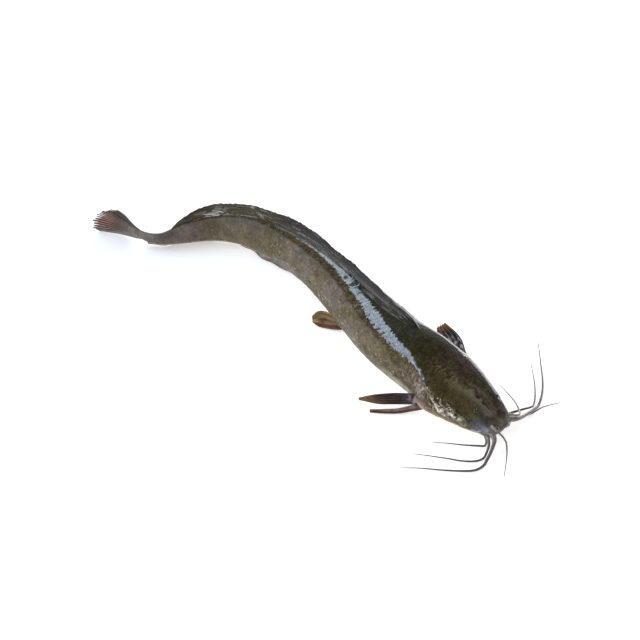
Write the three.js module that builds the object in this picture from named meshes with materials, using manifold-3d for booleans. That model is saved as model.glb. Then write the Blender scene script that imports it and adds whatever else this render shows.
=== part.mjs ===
// A whole walking catfish, lying on its belly in a slow S bend, as one solid.
// Millimetres, +Z up, +X from the tail towards the head. The origin is on the ground, under the
// middle of the fish's bounding box.

import * as THREE from "three";
import { LoftGeometry } from "three/addons/geometries/LoftGeometry.js";
import { mergeVertices } from "three/addons/utils/BufferGeometryUtils.js";
import Module from "manifold-3d";

// Driving dimensions of the body. "Along" is the distance back from the snout, along the bend.
const BODY_LENGTH = 290; // snout to the root of the tail fin
const TAIL_FIN_LENGTH = 34.5;
const SNOUT = { x: 142.9, y: -14.3 }; // places the snout so that the box is centred on the origin

// Direction in which the backbone points towards the head, in degrees from +X.
const BEND = [
  [0, -11.5], [20, -12], [60, -12], [90, -20.5], [120, -24.5], [150, -21.5], [180, -8.6],
  [210, 2.5], [235, 26], [255, 48], [272, 47], [288, 2], [296, -4], [303, 8], [311, 22], [326, 24],
];

// Width of the body, height of its back and height of its underside.
const WIDTH = [
  [0, 9], [1, 13], [3, 17], [8, 21.5], [25, 31.8], [45, 37.2], [65, 35.2], [90, 36], [120, 33],
  [150, 29], [180, 25], [210, 20.2], [240, 12.3], [262, 7.8], [276, 4.8], [290, 3.2],
];
const BACK = [
  [0, 10.2], [1, 11.6], [3, 13.6], [8, 16.8], [25, 24.3], [45, 29.4], [65, 32.6], [90, 31],
  [120, 28.6], [150, 27], [180, 25.6], [210, 24.2], [240, 20], [262, 16.8], [276, 12.4], [290, 10.8],
];
const BELLY = [
  [0, 5.2], [1, 3.8], [3, 2.6], [8, 1.2], [16, 0.1], [30, -0.9], [60, -1.2], [120, -1.2],
  [145, -0.7], [165, 0.4], [190, 1.6], [230, 2.4], [262, 2.6], [276, 3.4], [290, 4.6],
];

// How square a cross-section is above and below its widest point: 2 is an ellipse.
const SQUARE_ABOVE = [[0, 2.2], [20, 2.5], [50, 2.5], [80, 2.15], [290, 2]];
const SQUARE_BELOW = [[0, 2.2], [20, 2.7], [60, 2.6], [120, 2.3], [200, 2.1], [290, 2]];
const WIDEST_AT = [[0, 0.5], [20, 0.42], [60, 0.44], [120, 0.5], [290, 0.5]]; // share of the depth

const NOSE_RINGS = [0, 0.5, 1.2, 2.2]; // extra rings that round the snout
const BODY_RINGS = 58;
const RING_POINTS = 36;

// The mouth's crease, and the gill cover's bulge with its free hind edge.
const MOUTH = { height: 6.2, depth: 1.3, spread: 1.1, from: 5, to: 9 };
const GILL_COVER = { from: 20, peak: 44, edge: 48, to: 51, rise: 1.2, middle: -0.25, spread: 0.75 };

// The long back fin: how far it stands above the back, how far its root lies to the fish's left,
// and its lean to the left in degrees.
const DORSAL_HEIGHT = [
  [68, -1.2], [72, 1], [80, 4.2], [90, 5.4], [105, 6.2], [120, 7.2], [140, 8.7], [155, 9.8],
  [180, 10.2], [200, 9.9], [225, 9], [245, 8.3], [256, 7], [266, 3], [272, -1.2],
];
const DORSAL_SIDE = [[68, 4.8], [85, 4.4], [105, 3.2], [130, 0.8], [150, -0.8], [180, -1.4], [240, 0]];
const DORSAL_LEAN = 14;
// The anal fin, folded under the tail: how far its edge lies to the fish's right, and further
// back to its left.
const ANAL_REACH = [
  [148, 0.5], [160, 4.5], [180, 6.8], [198, 6.9], [208, 6.2], [218, 3.5], [230, 0], [245, -2.6],
  [262, -3.2], [274, -2.8], [282, -2.2], [287, -1.6],
];
// The tail fin's lower and upper edge, at distances beyond its root.
const TAIL_FIN_LOWER = [[-10, 7], [0, 4.4], [9, 1.6], [16, 0.7], [24, 0.6], [31, 0.6], [34.5, 3]];
const TAIL_FIN_UPPER = [
  [-10, 9], [0, 10.4], [7, 12.8], [13, 17.2], [18, 19.2], [25, 18.2], [31, 13.6], [34.5, 8],
];
const FIN_ROOT_DEPTH = 3; // how far a fin's root is set into the body
const FIN_THICKNESS = { dorsal: 1.5, anal: 1.1, tail: 1.5, paired: 1.8, edge: 0.8 };

// Paired fins as two edges each, leading and trailing: along, to the fish's left, height.
const PAIRED_FINS = {
  rightPectoral: [
    [[40, -12, 7], [44, -17.1, 6.5], [53, -23.4, 4.4], [58, -28.3, 4], [64, -34.2, 3.8], [71, -40.1, 5]],
    [[44, -12, 11.5], [48, -16.5, 11], [55, -22, 10.2], [61, -27.3, 9.5], [67, -34, 8.2], [71.4, -40, 5.8]],
  ],
  rightPectoralSpine: [
    [[40, -12, 4.2], [44, -17.7, 3.6], [48, -22.5, 2.3], [52, -27.8, 1.2], [57, -33.5, 0.9], [64, -39.4, 0.8]],
    [[42, -12, 7.5], [46, -18.5, 6.2], [50, -22.8, 4.4], [54, -27.7, 3], [59, -32.8, 2.2], [64.6, -38.8, 1.8]],
  ],
  leftPectoral: [
    [[38, 12, 5.5], [44, 20, 5.2], [53, 28.5, 5], [60, 32.3, 5], [67, 35.7, 5.2], [76, 38.4, 6], [85, 39.3, 7.2]],
    [[46, 12, 9], [54, 17, 9.5], [62, 21, 9.4], [69, 23.2, 9.2], [76, 25.6, 9], [84, 29.4, 8.6], [88, 35, 8]],
  ],
  rightPelvic: [
    [[119, -9, 3.6], [121, -13.8, 2.6], [124, -16.7, 1.8], [128, -20, 1.2], [132, -22.7, 1], [137, -23.8, 1]],
    [[129, -9, 5], [131, -12, 4.2], [135, -12.4, 3.4], [139.5, -13.8, 2.8], [142.5, -17, 2.2], [141.5, -21.5, 1.5]],
  ],
  leftPelvic: [
    [[119, 9, 3.6], [121, 13.8, 2.6], [124, 16.7, 1.8], [128, 20, 1.2], [132, 22.7, 1], [137, 23.8, 1]],
    [[129, 9, 5], [131, 12, 4.2], [135, 12.4, 3.4], [139.5, 13.8, 2.8], [142.5, 17, 2.2], [141.5, 21.5, 1.5]],
  ],
};

// Barbels, thickest at the root, as routes chosen by hand: ahead of the snout, to the fish's left
// and height. A point lower than the barbel is thick there lies on the ground.
const BARBELS = {
  rightMaxillary: {
    root: 3.4,
    tip: 1,
    route: [
      [-5, -6, 7.8], [-1.6, -7.2, 7], [1.4, -8.8, 5.6], [3.8, -13.4, 3.6], [6, -19.3, 2], [7, -24.2, 0],
      [5.9, -29.2, 0], [1.3, -34.6, 0], [-7.1, -42.1, 0], [-15.6, -48.9, 0], [-23.7, -56.8, 0],
    ],
  },
  rightOuterChin: {
    root: 2.6,
    tip: 0.9,
    route: [
      [-8, -5.5, 4], [-4.1, -8.2, 4.9], [0.3, -11.9, 4.2], [2.3, -15.7, 2.4], [3.1, -19.6, 0],
      [1.5, -23.8, 0], [-3.5, -28.7, 0], [-11.4, -33.8, 0], [-20.9, -40.3, 0], [-26.5, -44.4, 0],
    ],
  },
  rightInnerChin: {
    root: 2.3,
    tip: 0.9,
    route: [
      [-9, -4.5, 3.2], [-5.7, -8.2, 3.8], [-3, -10.2, 2.8], [-2.9, -12, 0], [-5.3, -14.2, 0],
      [-12, -19.9, 0], [-19, -25.2, 0], [-24.6, -30.3, 0],
    ],
  },
  rightNasal: {
    root: 2,
    tip: 0.8,
    route: [
      [-5, -5.4, 10.6], [-3, -6.8, 12.2], [1.2, -7, 11.5], [3.7, -5, 8], [5.6, -3.7, 3.6],
      [8.1, -5.5, 0], [13.2, -11.8, 0], [20.2, -21.4, 0],
    ],
  },
  leftMaxillary: {
    root: 3.4,
    tip: 1,
    route: [
      [-5, 6, 7.8], [-0.9, 11.8, 6.8], [-0.7, 19.2, 4.8], [-1.5, 27, 3], [-4, 34.9, 0],
      [-9.3, 43.5, 0], [-16.3, 51.6, 0], [-26.4, 61.4, 0], [-38.8, 73.5, 0],
    ],
  },
  leftOuterChin: {
    root: 2.6,
    tip: 0.9,
    route: [
      [-9, 5.5, 3.6], [-8, 12.8, 4.4], [-6.2, 20.5, 3.6], [-4.4, 28, 2.2], [-6, 32.5, 0],
      [-10, 38.1, 0], [-15.5, 44.1, 0], [-22.1, 50.2, 0], [-29.3, 56.5, 0],
    ],
  },
  leftInnerChin: {
    root: 2.3,
    tip: 0.9,
    route: [
      [-9, 4.5, 3.2], [-3.5, 12, 3.2], [-1.8, 20, 2.6], [-1.6, 28, 0], [-1, 34, 0], [0.5, 38.3, 0],
      [3.6, 44.9, 0],
    ],
  },
  leftNasal: {
    root: 2,
    tip: 0.8,
    route: [
      [-5, 5.4, 10.6], [-3, 6.8, 12], [0.3, 8.8, 12.4], [0.6, 11.8, 11.4], [-3.2, 15.9, 9.4],
      [-11.3, 21.5, 6.4], [-20, 25.7, 3.6], [-30.2, 30.8, 0],
    ],
  },
};
const BARBEL_STEPS = 18;
const BARBEL_SIDES = 6;

const EYE = { along: 14, left: 8.9, height: 16.4, radius: 2.2 };

const radians = THREE.MathUtils.degToRad;

// Smooth curve through [position, value] keys that never overshoots them.
function through(keys) {
  const slopes = keys.slice(1).map(([x, y], i) => (y - keys[i][1]) / (x - keys[i][0]));
  const tangents = keys.map((_, i) => {
    if (i === 0) return slopes[0];
    if (i === keys.length - 1) return slopes[i - 1];
    const [before, after] = [slopes[i - 1], slopes[i]];
    if (before * after <= 0) return 0;
    const stepBefore = keys[i][0] - keys[i - 1][0];
    const stepAfter = keys[i + 1][0] - keys[i][0];
    const weightBefore = 2 * stepAfter + stepBefore;
    const weightAfter = stepAfter + 2 * stepBefore;
    return (weightBefore + weightAfter) / (weightBefore / before + weightAfter / after);
  });
  return (position) => {
    const x = THREE.MathUtils.clamp(position, keys[0][0], keys.at(-1)[0]);
    let i = keys.length - 2;
    while (i > 0 && x < keys[i][0]) i -= 1;
    const step = keys[i + 1][0] - keys[i][0];
    const t = (x - keys[i][0]) / step;
    return (
      keys[i][1] * (1 + 2 * t) * (1 - t) ** 2 +
      tangents[i] * step * t * (1 - t) ** 2 +
      keys[i + 1][1] * t * t * (3 - 2 * t) +
      tangents[i + 1] * step * t * t * (t - 1)
    );
  };
}

const bend = through(BEND);
const width = through(WIDTH);
const back = through(BACK);
const belly = through(BELLY);
const squareAbove = through(SQUARE_ABOVE);
const squareBelow = through(SQUARE_BELOW);
const widestAt = through(WIDEST_AT);

// The backbone, walked from the snout in steps of one millimetre.
const backbone = [{ x: SNOUT.x, y: SNOUT.y }];
for (let along = 1; along <= BODY_LENGTH + TAIL_FIN_LENGTH + 2; along += 1) {
  const heading = radians(bend(along - 0.5));
  const last = backbone.at(-1);
  backbone.push({ x: last.x - Math.cos(heading), y: last.y - Math.sin(heading) });
}

// A point beside the backbone: distance along it, distance to the fish's left, height.
function beside(along, left, height) {
  const heading = radians(bend(along));
  const step = THREE.MathUtils.clamp(Math.floor(along), 0, backbone.length - 2);
  const [a, b] = [backbone[step], backbone[step + 1]];
  return new THREE.Vector3(
    a.x + (b.x - a.x) * (along - step) - left * Math.sin(heading),
    a.y + (b.y - a.y) * (along - step) + left * Math.cos(heading),
    height,
  );
}

// Nothing reaches below the ground that the fish lies on.
const grounded = (point) => point.setZ(Math.max(0, point.z));

// A smooth bump of height one at its middle.
const bump = (distance, spread) => Math.exp(-((distance / spread) ** 2));

// How far the skin stands out at a place on the body: angle 0 is the fish's left side.
function relief(along, angle, height) {
  const lip = 1 - THREE.MathUtils.smoothstep(along, MOUTH.from, MOUTH.to);
  const crease = MOUTH.depth * lip * bump(height - MOUTH.height, MOUTH.spread);
  const fromSide = Math.asin(Math.sin(angle)) - GILL_COVER.middle;
  const cover =
    THREE.MathUtils.smoothstep(along, GILL_COVER.from, GILL_COVER.peak) *
    (1 - THREE.MathUtils.smoothstep(along, GILL_COVER.edge, GILL_COVER.to));
  return GILL_COVER.rise * cover * bump(fromSide, GILL_COVER.spread) - crease;
}

// One cross-section of the body, flat underneath where it lies on the ground.
function bodyRing(along) {
  const low = belly(along);
  const high = back(along);
  const widest = low + widestAt(along) * (high - low);
  return Array.from({ length: RING_POINTS }, (_, i) => {
    const angle = -(2 * Math.PI * (i + 0.5)) / RING_POINTS;
    const [across, upward] = [Math.cos(angle), Math.sin(angle)];
    const power = 2 / (upward > 0 ? squareAbove(along) : squareBelow(along));
    const left = Math.sign(across) * Math.abs(across) ** power;
    const up = Math.sign(upward) * Math.abs(upward) ** power;
    const height = widest + up * (upward > 0 ? high - widest : widest - low);
    const out = relief(along, angle, height);
    return grounded(beside(along, left * (width(along) / 2) + across * out, height + upward * out));
  });
}

const wasm = await Module();
wasm.setup();

// A closed geometry as a solid that can be joined to others.
function solid(geometry) {
  const surface = new THREE.BufferGeometry()
    .setAttribute("position", geometry.getAttribute("position"))
    .setIndex(geometry.index);
  const merged = mergeVertices(surface, 1e-3);
  return new wasm.Manifold(
    new wasm.Mesh({
      numProp: 3,
      vertProperties: merged.attributes.position.array,
      triVerts: new Uint32Array(merged.index.array),
    }),
  );
}

const loft = (sections) => solid(new LoftGeometry(sections, { capStart: true, capEnd: true }));

function body() {
  const places = [...NOSE_RINGS];
  const rest = BODY_LENGTH - NOSE_RINGS.at(-1);
  for (let i = 1; i <= BODY_RINGS; i += 1) {
    const share = i / BODY_RINGS;
    places.push(NOSE_RINGS.at(-1) + rest * (0.45 * share + 0.55 * share ** 2));
  }
  return loft(places.map(bodyRing));
}

// A thin fin between two edges, given as points near(u) and far(u) for u from 0 to 1.
function fin({ near, far, steps, columns, thickness }) {
  const { edge } = FIN_THICKNESS;
  const sections = [];
  for (let i = 0; i <= steps; i += 1) {
    const u = i / steps;
    const [a, b] = [near(u), far(u)];
    const after = near(Math.min(1, u + 0.01)).add(far(Math.min(1, u + 0.01)));
    const before = near(Math.max(0, u - 0.01)).add(far(Math.max(0, u - 0.01)));
    const side = new THREE.Vector3().crossVectors(after.sub(before), b.clone().sub(a)).normalize();
    const face = (sign) =>
      Array.from({ length: columns + 1 }, (_, k) => {
        const v = k / columns;
        const half = (edge + (thickness - edge) * Math.sin(Math.PI * v)) / 2;
        return grounded(a.clone().lerp(b, v).addScaledVector(side, sign * half));
      });
    sections.push([...face(-1), ...face(1).reverse()]);
  }
  return loft(sections);
}

function dorsalFin() {
  const height = through(DORSAL_HEIGHT);
  const rootSide = through(DORSAL_SIDE);
  const [start, end] = [DORSAL_HEIGHT[0][0], DORSAL_HEIGHT.at(-1)[0]];
  const lean = radians(DORSAL_LEAN);
  const above = (u, reach) => {
    const along = start + (end - start) * u;
    const up = reach(along);
    const left = rootSide(along) + up * Math.sin(lean);
    return beside(along, left, back(along) + up * Math.cos(lean));
  };
  return fin({
    near: (u) => above(u, () => -FIN_ROOT_DEPTH),
    far: (u) => above(u, height),
    steps: 40,
    columns: 3,
    thickness: FIN_THICKNESS.dorsal,
  });
}

function analFin() {
  const reach = through(ANAL_REACH);
  const [start, end] = [ANAL_REACH[0][0], ANAL_REACH.at(-1)[0]];
  const along = (u) => start + (end - start) * u;
  return fin({
    near: (u) => beside(along(u), 0.5, belly(along(u)) + FIN_ROOT_DEPTH),
    far: (u) => beside(along(u), -reach(along(u)), FIN_THICKNESS.anal / 2 + 0.1),
    steps: 32,
    columns: 2,
    thickness: FIN_THICKNESS.anal,
  });
}

function tailFin() {
  const lower = through(TAIL_FIN_LOWER);
  const upper = through(TAIL_FIN_UPPER);
  const start = TAIL_FIN_LOWER[0][0];
  const beyond = (u) => start + (TAIL_FIN_LENGTH - start) * u;
  return fin({
    near: (u) => beside(BODY_LENGTH + beyond(u), 0, lower(beyond(u))),
    far: (u) => beside(BODY_LENGTH + beyond(u), 0, upper(beyond(u))),
    steps: 22,
    columns: 5,
    thickness: FIN_THICKNESS.tail,
  });
}

function pairedFin([leading, trailing]) {
  const edge = (points) => {
    const curve = new THREE.CatmullRomCurve3(points.map((point) => beside(...point)));
    return (u) => curve.getPoint(u);
  };
  return fin({
    near: edge(leading),
    far: edge(trailing),
    steps: 14,
    columns: 4,
    thickness: FIN_THICKNESS.paired,
  });
}

function barbel({ root, tip, route }) {
  const radiusAt = (u) => (root + (tip - root) * u ** 0.7) / 2;
  const heading = radians(bend(0));
  const curve = new THREE.CatmullRomCurve3(
    route.map(([ahead, left, height], i) =>
      new THREE.Vector3(
        SNOUT.x + ahead * Math.cos(heading) - left * Math.sin(heading),
        SNOUT.y + ahead * Math.sin(heading) + left * Math.cos(heading),
        Math.max(height, radiusAt(i / (route.length - 1)) + 0.1),
      ),
    ),
  );
  const { normals, binormals } = curve.computeFrenetFrames(BARBEL_STEPS);
  const sections = normals.map((normal, i) => {
    const u = i / BARBEL_STEPS;
    const centre = curve.getPointAt(u);
    const radius = radiusAt(curve.getUtoTmapping(u));
    return Array.from({ length: BARBEL_SIDES }, (_, k) => {
      const angle = (2 * Math.PI * k) / BARBEL_SIDES;
      const out = normal.clone().multiplyScalar(radius * Math.cos(angle));
      return grounded(out.addScaledVector(binormals[i], radius * Math.sin(angle)).add(centre));
    });
  });
  return loft(sections);
}

function eye(side) {
  const ball = new THREE.SphereGeometry(EYE.radius, 10, 7);
  const centre = beside(EYE.along, side * EYE.left, EYE.height);
  return solid(ball.translate(centre.x, centre.y, centre.z));
}

// The fish is one piece: the body with its fins, barbels and eyes joined on.
const pieces = [
  dorsalFin(),
  analFin(),
  tailFin(),
  ...Object.values(PAIRED_FINS).map(pairedFin),
  ...Object.values(BARBELS).map(barbel),
  eye(1),
  eye(-1),
];
const joined = pieces.reduce((fish, piece) => fish.add(piece), body()).getMesh();

const skin = new THREE.MeshStandardMaterial({ color: 0x4c4635, roughness: 0.3, metalness: 0 });
const fish = new THREE.Mesh(
  new THREE.BufferGeometry()
    .setAttribute("position", new THREE.BufferAttribute(joined.vertProperties, 3))
    .setIndex(new THREE.BufferAttribute(joined.triVerts, 1)),
  skin,
);
fish.name = "walking_catfish";

const catfish = new THREE.Group();
catfish.add(fish);

export default catfish;
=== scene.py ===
import math
from functools import partial

import bmesh
import bpy
import numpy as np
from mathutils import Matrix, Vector


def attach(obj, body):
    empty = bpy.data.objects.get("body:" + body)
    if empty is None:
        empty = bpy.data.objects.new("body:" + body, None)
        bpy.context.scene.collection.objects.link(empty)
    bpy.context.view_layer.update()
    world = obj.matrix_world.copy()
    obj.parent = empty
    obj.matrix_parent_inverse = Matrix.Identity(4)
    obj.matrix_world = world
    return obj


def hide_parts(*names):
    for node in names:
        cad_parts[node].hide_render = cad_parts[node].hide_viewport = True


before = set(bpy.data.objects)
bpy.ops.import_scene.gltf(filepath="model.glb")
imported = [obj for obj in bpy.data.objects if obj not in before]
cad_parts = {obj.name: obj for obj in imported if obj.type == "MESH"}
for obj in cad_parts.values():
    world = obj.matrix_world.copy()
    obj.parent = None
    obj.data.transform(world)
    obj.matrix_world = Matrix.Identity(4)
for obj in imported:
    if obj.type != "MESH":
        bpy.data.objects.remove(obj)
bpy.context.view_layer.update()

MM = 0.001

# Driving dimensions, the same as the part's
BODY_LENGTH = 290.0
BACKBONE_END = 330.0
SNOUT = (142.9, -14.3)

BEND = [
    (0, -11.5), (20, -12), (60, -12), (90, -20.5), (120, -24.5), (150, -21.5), (180, -8.6),
    (210, 2.5), (235, 26), (255, 48), (272, 47), (288, 2), (296, -4), (303, 8), (311, 22), (326, 24),
]
WIDTH = [
    (0, 9), (1, 13), (3, 17), (8, 21.5), (25, 31.8), (45, 37.2), (65, 35.2), (90, 36), (120, 33),
    (150, 29), (180, 25), (210, 20.2), (240, 12.3), (262, 7.8), (276, 4.8), (290, 3.2), (296, 1.9),
    (301, 0.9),
]
BACK = [
    (0, 10.2), (1, 11.6), (3, 13.6), (8, 16.8), (25, 24.3), (45, 29.4), (65, 32.6), (90, 31),
    (120, 28.6), (150, 27), (180, 25.6), (210, 24.2), (240, 20), (262, 16.8), (276, 12.4),
    (290, 10.8), (296, 10.6), (301, 9.4),
]
BELLY = [
    (0, 5.2), (1, 3.8), (3, 2.6), (8, 1.2), (16, 0.1), (30, -0.9), (60, -1.2), (120, -1.2),
    (145, -0.7), (165, 0.4), (190, 1.6), (230, 2.4), (262, 2.6), (276, 3.4), (290, 4.6), (296, 4.2),
    (301, 5.2),
]
SQUARE_ABOVE = [(0, 2.2), (20, 2.5), (50, 2.5), (80, 2.15), (290, 2)]
SQUARE_BELOW = [(0, 2.2), (20, 2.7), (60, 2.6), (120, 2.3), (200, 2.1), (290, 2)]
WIDEST_AT = [(0, 0.5), (20, 0.42), (60, 0.44), (120, 0.5), (290, 0.5)]

DORSAL_HEIGHT = [
    (68, -1.2), (72, 1), (80, 4.2), (90, 5.4), (105, 6.2), (120, 7.2), (140, 8.7), (155, 9.8),
    (180, 10.2), (200, 9.9), (225, 9), (245, 8.3), (256, 7), (266, 3), (272, -1.2),
]
DORSAL_SIDE = [(68, 4.8), (85, 4.4), (105, 3.2), (130, 0.8), (150, -0.8), (180, -1.4), (240, 0)]
DORSAL_LEAN = math.radians(14)
ANAL_REACH = [
    (148, 0.5), (160, 4.5), (180, 6.8), (198, 6.9), (208, 6.2), (218, 3.5), (230, 0), (245, -2.6),
    (262, -3.2), (274, -2.8), (282, -2.2), (287, -1.6),
]
TAIL_FIN_LOWER = [(0, 4.4), (9, 1.6), (16, 0.7), (24, 0.6), (31, 0.6), (34.5, 3)]
TAIL_FIN_UPPER = [(0, 10.4), (7, 12.8), (13, 17.2), (18, 19.2), (25, 18.2), (31, 13.6), (34.5, 8)]

# Paired fins: the leading and the trailing edge, each from the root to the tip.
PECTORAL_RIGHT = (
    [(40, -12, 7), (44, -17.1, 6.5), (53, -23.4, 4.4), (58, -28.3, 4), (64, -34.2, 3.8), (71, -40.1, 5)],
    [(44, -12, 11.5), (48, -16.5, 11), (55, -22, 10.2), (61, -27.3, 9.5), (67, -34, 8.2), (71.4, -40, 5.8)],
)
PECTORAL_SPINE_RIGHT = (
    [(40, -12, 4.2), (44, -17.7, 3.6), (48, -22.5, 2.3), (52, -27.8, 1.2), (57, -33.5, 0.9),
     (64, -39.4, 0.8)],
    [(42, -12, 7.5), (46, -18.5, 6.2), (50, -22.8, 4.4), (54, -27.7, 3), (59, -32.8, 2.2),
     (64.6, -38.8, 1.8)],
)
PECTORAL_LEFT = (
    [(38, 12, 5.5), (44, 19.5, 5.2), (52, 27.5, 5), (59, 32, 5), (64, 35.4, 5), (70, 37.9, 5.3),
     (77, 38.9, 5.8), (87.5, 38, 7.4)],
    [(46, 12, 9), (54, 17, 9.5), (62, 21, 9.4), (69, 23.2, 9.2), (76, 25.6, 9), (81, 27.4, 8.8),
     (86, 30.6, 8.4)],
)
PELVIC_RIGHT = (
    [(119, -9, 3.6), (121, -13.8, 2.6), (124, -16.7, 1.8), (128, -20, 1.2), (132, -22.7, 1), (137, -23.8, 1)],
    [(129, -9, 5), (131, -12, 4.2), (135, -12.4, 3.4), (139.5, -13.8, 2.8), (142.5, -17, 2.2),
     (141.5, -21.5, 1.5)],
)
PELVIC_LEFT = tuple([(along, -left, height) for along, left, height in edge] for edge in PELVIC_RIGHT)

# Barbels: thickness at the root and at the tip, and the route ahead of the snout, to the fish's
# left and up.
BARBELS = {
    "maxillary_right": (3.2, 0.45, [
        (-5, -6, 7.8), (-1.6, -7.2, 7), (1.4, -8.8, 5.6), (3.8, -13.4, 3.6), (6, -19.3, 2), (7, -24.2, 0),
        (5.9, -29.2, 0), (1.3, -34.6, 0), (-7.1, -42.1, 0), (-15.6, -48.9, 0), (-23.7, -56.8, 0)]),
    "outer_chin_right": (2.5, 0.4, [
        (-8, -5.5, 4), (-4.1, -8.2, 4.9), (0.3, -11.9, 4.2), (2.3, -15.7, 2.4), (3.1, -19.6, 0),
        (1.5, -23.8, 0), (-3.5, -28.7, 0), (-11.4, -33.8, 0), (-20.9, -40.3, 0), (-26.5, -44.4, 0)]),
    "inner_chin_right": (2.2, 0.4, [
        (-9, -4.5, 3.2), (-5.7, -8.2, 3.8), (-3, -10.2, 2.8), (-2.9, -12, 0), (-5.3, -14.2, 0),
        (-12, -19.9, 0), (-19, -25.2, 0), (-24.6, -30.3, 0)]),
    "nasal_right": (1.9, 0.4, [
        (-5, -5.4, 10.6), (-3, -6.8, 12.2), (1.2, -7, 11.5), (3.7, -5, 8), (5.6, -3.7, 3.6),
        (8.1, -5.5, 0), (13.2, -11.8, 0), (20.2, -21.4, 0)]),
    "maxillary_left": (3.2, 0.45, [
        (-5, 6, 7.8), (-0.9, 11.8, 6.8), (-0.7, 19.2, 4.8), (-1.5, 27, 3), (-4, 34.9, 0),
        (-9.3, 43.5, 0), (-16.3, 51.6, 0), (-26.4, 61.4, 0), (-38.8, 73.5, 0)]),
    "outer_chin_left": (2.5, 0.4, [
        (-9, 5.5, 3.6), (-8, 12.8, 4.4), (-6.2, 20.5, 3.6), (-4.4, 28, 2.2), (-6, 32.5, 0),
        (-10, 38.1, 0), (-15.5, 44.1, 0), (-22.1, 50.2, 0), (-29.3, 56.5, 0)]),
    "inner_chin_left": (2.2, 0.4, [
        (-9, 4.5, 3.2), (-3.5, 12, 3.2), (-1.8, 20, 2.6), (-1.6, 28, 0), (-1, 34, 0), (0.5, 38.3, 0),
        (3.6, 44.9, 0)]),
    "nasal_left": (1.9, 0.4, [
        (-5, 5.4, 10.6), (-3, 6.8, 12), (0.3, 8.8, 12.4), (0.6, 11.8, 11.4), (-3.2, 15.9, 9.4),
        (-11.3, 21.5, 6.4), (-20, 25.7, 3.6), (-30.2, 30.8, 0)]),
}
EYE = {"along": 14.0, "left": 8.4, "height": 17.0, "radius": 1.45}


# Small maths
def through(keys):
    """Smooth curve through (position, value) keys that never overshoots them."""
    x, y = np.array(keys, float).T
    step = np.diff(x)
    slope = np.diff(y) / step
    tangent = np.zeros(len(x))
    tangent[0], tangent[-1] = slope[0], slope[-1]
    for i in range(1, len(x) - 1):
        before, after = slope[i - 1], slope[i]
        if before * after > 0:
            weight_before = 2 * step[i] + step[i - 1]
            weight_after = step[i] + 2 * step[i - 1]
            tangent[i] = (weight_before + weight_after) / (weight_before / before + weight_after / after)

    def value(position):
        p = np.clip(position, x[0], x[-1])
        i = np.clip(np.searchsorted(x, p, side="right") - 1, 0, len(x) - 2)
        t = (p - x[i]) / step[i]
        return (
            y[i] * (1 + 2 * t) * (1 - t) ** 2
            + tangent[i] * step[i] * t * (1 - t) ** 2
            + y[i + 1] * t * t * (3 - 2 * t)
            + tangent[i + 1] * step[i] * t * t * (t - 1)
        )

    return value


def smooth(x, low, high):
    """0 below low, 1 above high, smooth between."""
    t = np.clip((x - low) / (high - low), 0, 1)
    return t * t * (3 - 2 * t)


def fade(x, low, high):
    """1 below low, 0 above high, smooth between."""
    return 1 - smooth(x, low, high)


def between(x, low, high, start, end):
    """Rises from 0 to 1 between low and high, and falls back to 0 between start and end."""
    return smooth(x, low, high) * fade(x, start, end)


def bump(distance, spread):
    """1 where the distance is 0, falling off smoothly on both sides."""
    return np.exp(-((distance / spread) ** 2))


def clouds(points, size, seed, octaves=2):
    """Soft random unevenness, about -1 to 1, with lumps of the given size: a sum of many waves."""
    waves, height_of_sum, length_per_size = 14, 4.5, 2.2
    draw = np.random.default_rng(seed)
    total = np.zeros(points.shape[:-1])
    for octave in range(octaves):
        for _ in range(waves):
            direction = draw.normal(size=3)
            direction /= np.linalg.norm(direction)
            pitch = size / 2**octave * draw.uniform(0.7, 1.5)
            phase = draw.uniform(0, 2 * math.pi)
            rate = 2 * math.pi / (length_per_size * pitch)
            total += np.sin(points @ direction * rate + phase) / 2**octave
    return total / height_of_sum


def walked(points):
    """How far each point of a line lies along it."""
    return np.concatenate([[0], np.cumsum(np.linalg.norm(np.diff(points, axis=0), axis=1))])


def shared_out(points, count):
    """Evenly spaced places along a line of points."""
    distance = walked(points)
    at = np.linspace(0, distance[-1], count)
    return np.stack([np.interp(at, distance, column) for column in points.T], -1)


def rounded(points, count):
    """Evenly spaced places on the smooth curve through a few points."""
    steps_between = 24
    p = np.array(points, float)
    q = np.vstack([2 * p[0] - p[1], p, 2 * p[-1] - p[-2]])
    t = np.linspace(0, 1, steps_between, endpoint=False)[:, None]
    pieces = []
    for a, b, c, d in zip(q, q[1:], q[2:], q[3:]):
        squared, cubed = 2 * a - 5 * b + 4 * c - d, 3 * b - a - 3 * c + d
        pieces.append(0.5 * (2 * b + (c - a) * t + squared * t**2 + cubed * t**3))
    return shared_out(np.vstack(pieces + [p[-1:]]), count)


def unit(vector):
    return vector / np.linalg.norm(vector)


def directions(centre, towards):
    """Unit directions from a centre towards a point, level across that, and upward across both."""
    out = unit(towards - centre)
    across = unit(np.cross(out, (0, 0, 1)))
    return out, across, np.cross(across, out)


def linear(red, green, blue):
    """A screen colour, 0 to 255, as the linear colour that shaders use."""
    c = np.array([red, green, blue]) / 255
    return np.where(c <= 0.04045, c / 12.92, ((c + 0.055) / 1.055) ** 2.4)


def blend(a, b, share):
    return a + (b - a) * np.asarray(share)[..., None]


def painted(colour, layers):
    """Lays screen tones over a colour, one after another, each as far as its share says."""
    for tone, share in layers:
        colour = blend(colour, linear(*tone), share)
    return colour


bend = through(BEND)
width = through(WIDTH)
back = through(BACK)
belly = through(BELLY)
square_above = through(SQUARE_ABOVE)
square_below = through(SQUARE_BELOW)
widest_at = through(WIDEST_AT)
dorsal_side = through(DORSAL_SIDE)

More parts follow.
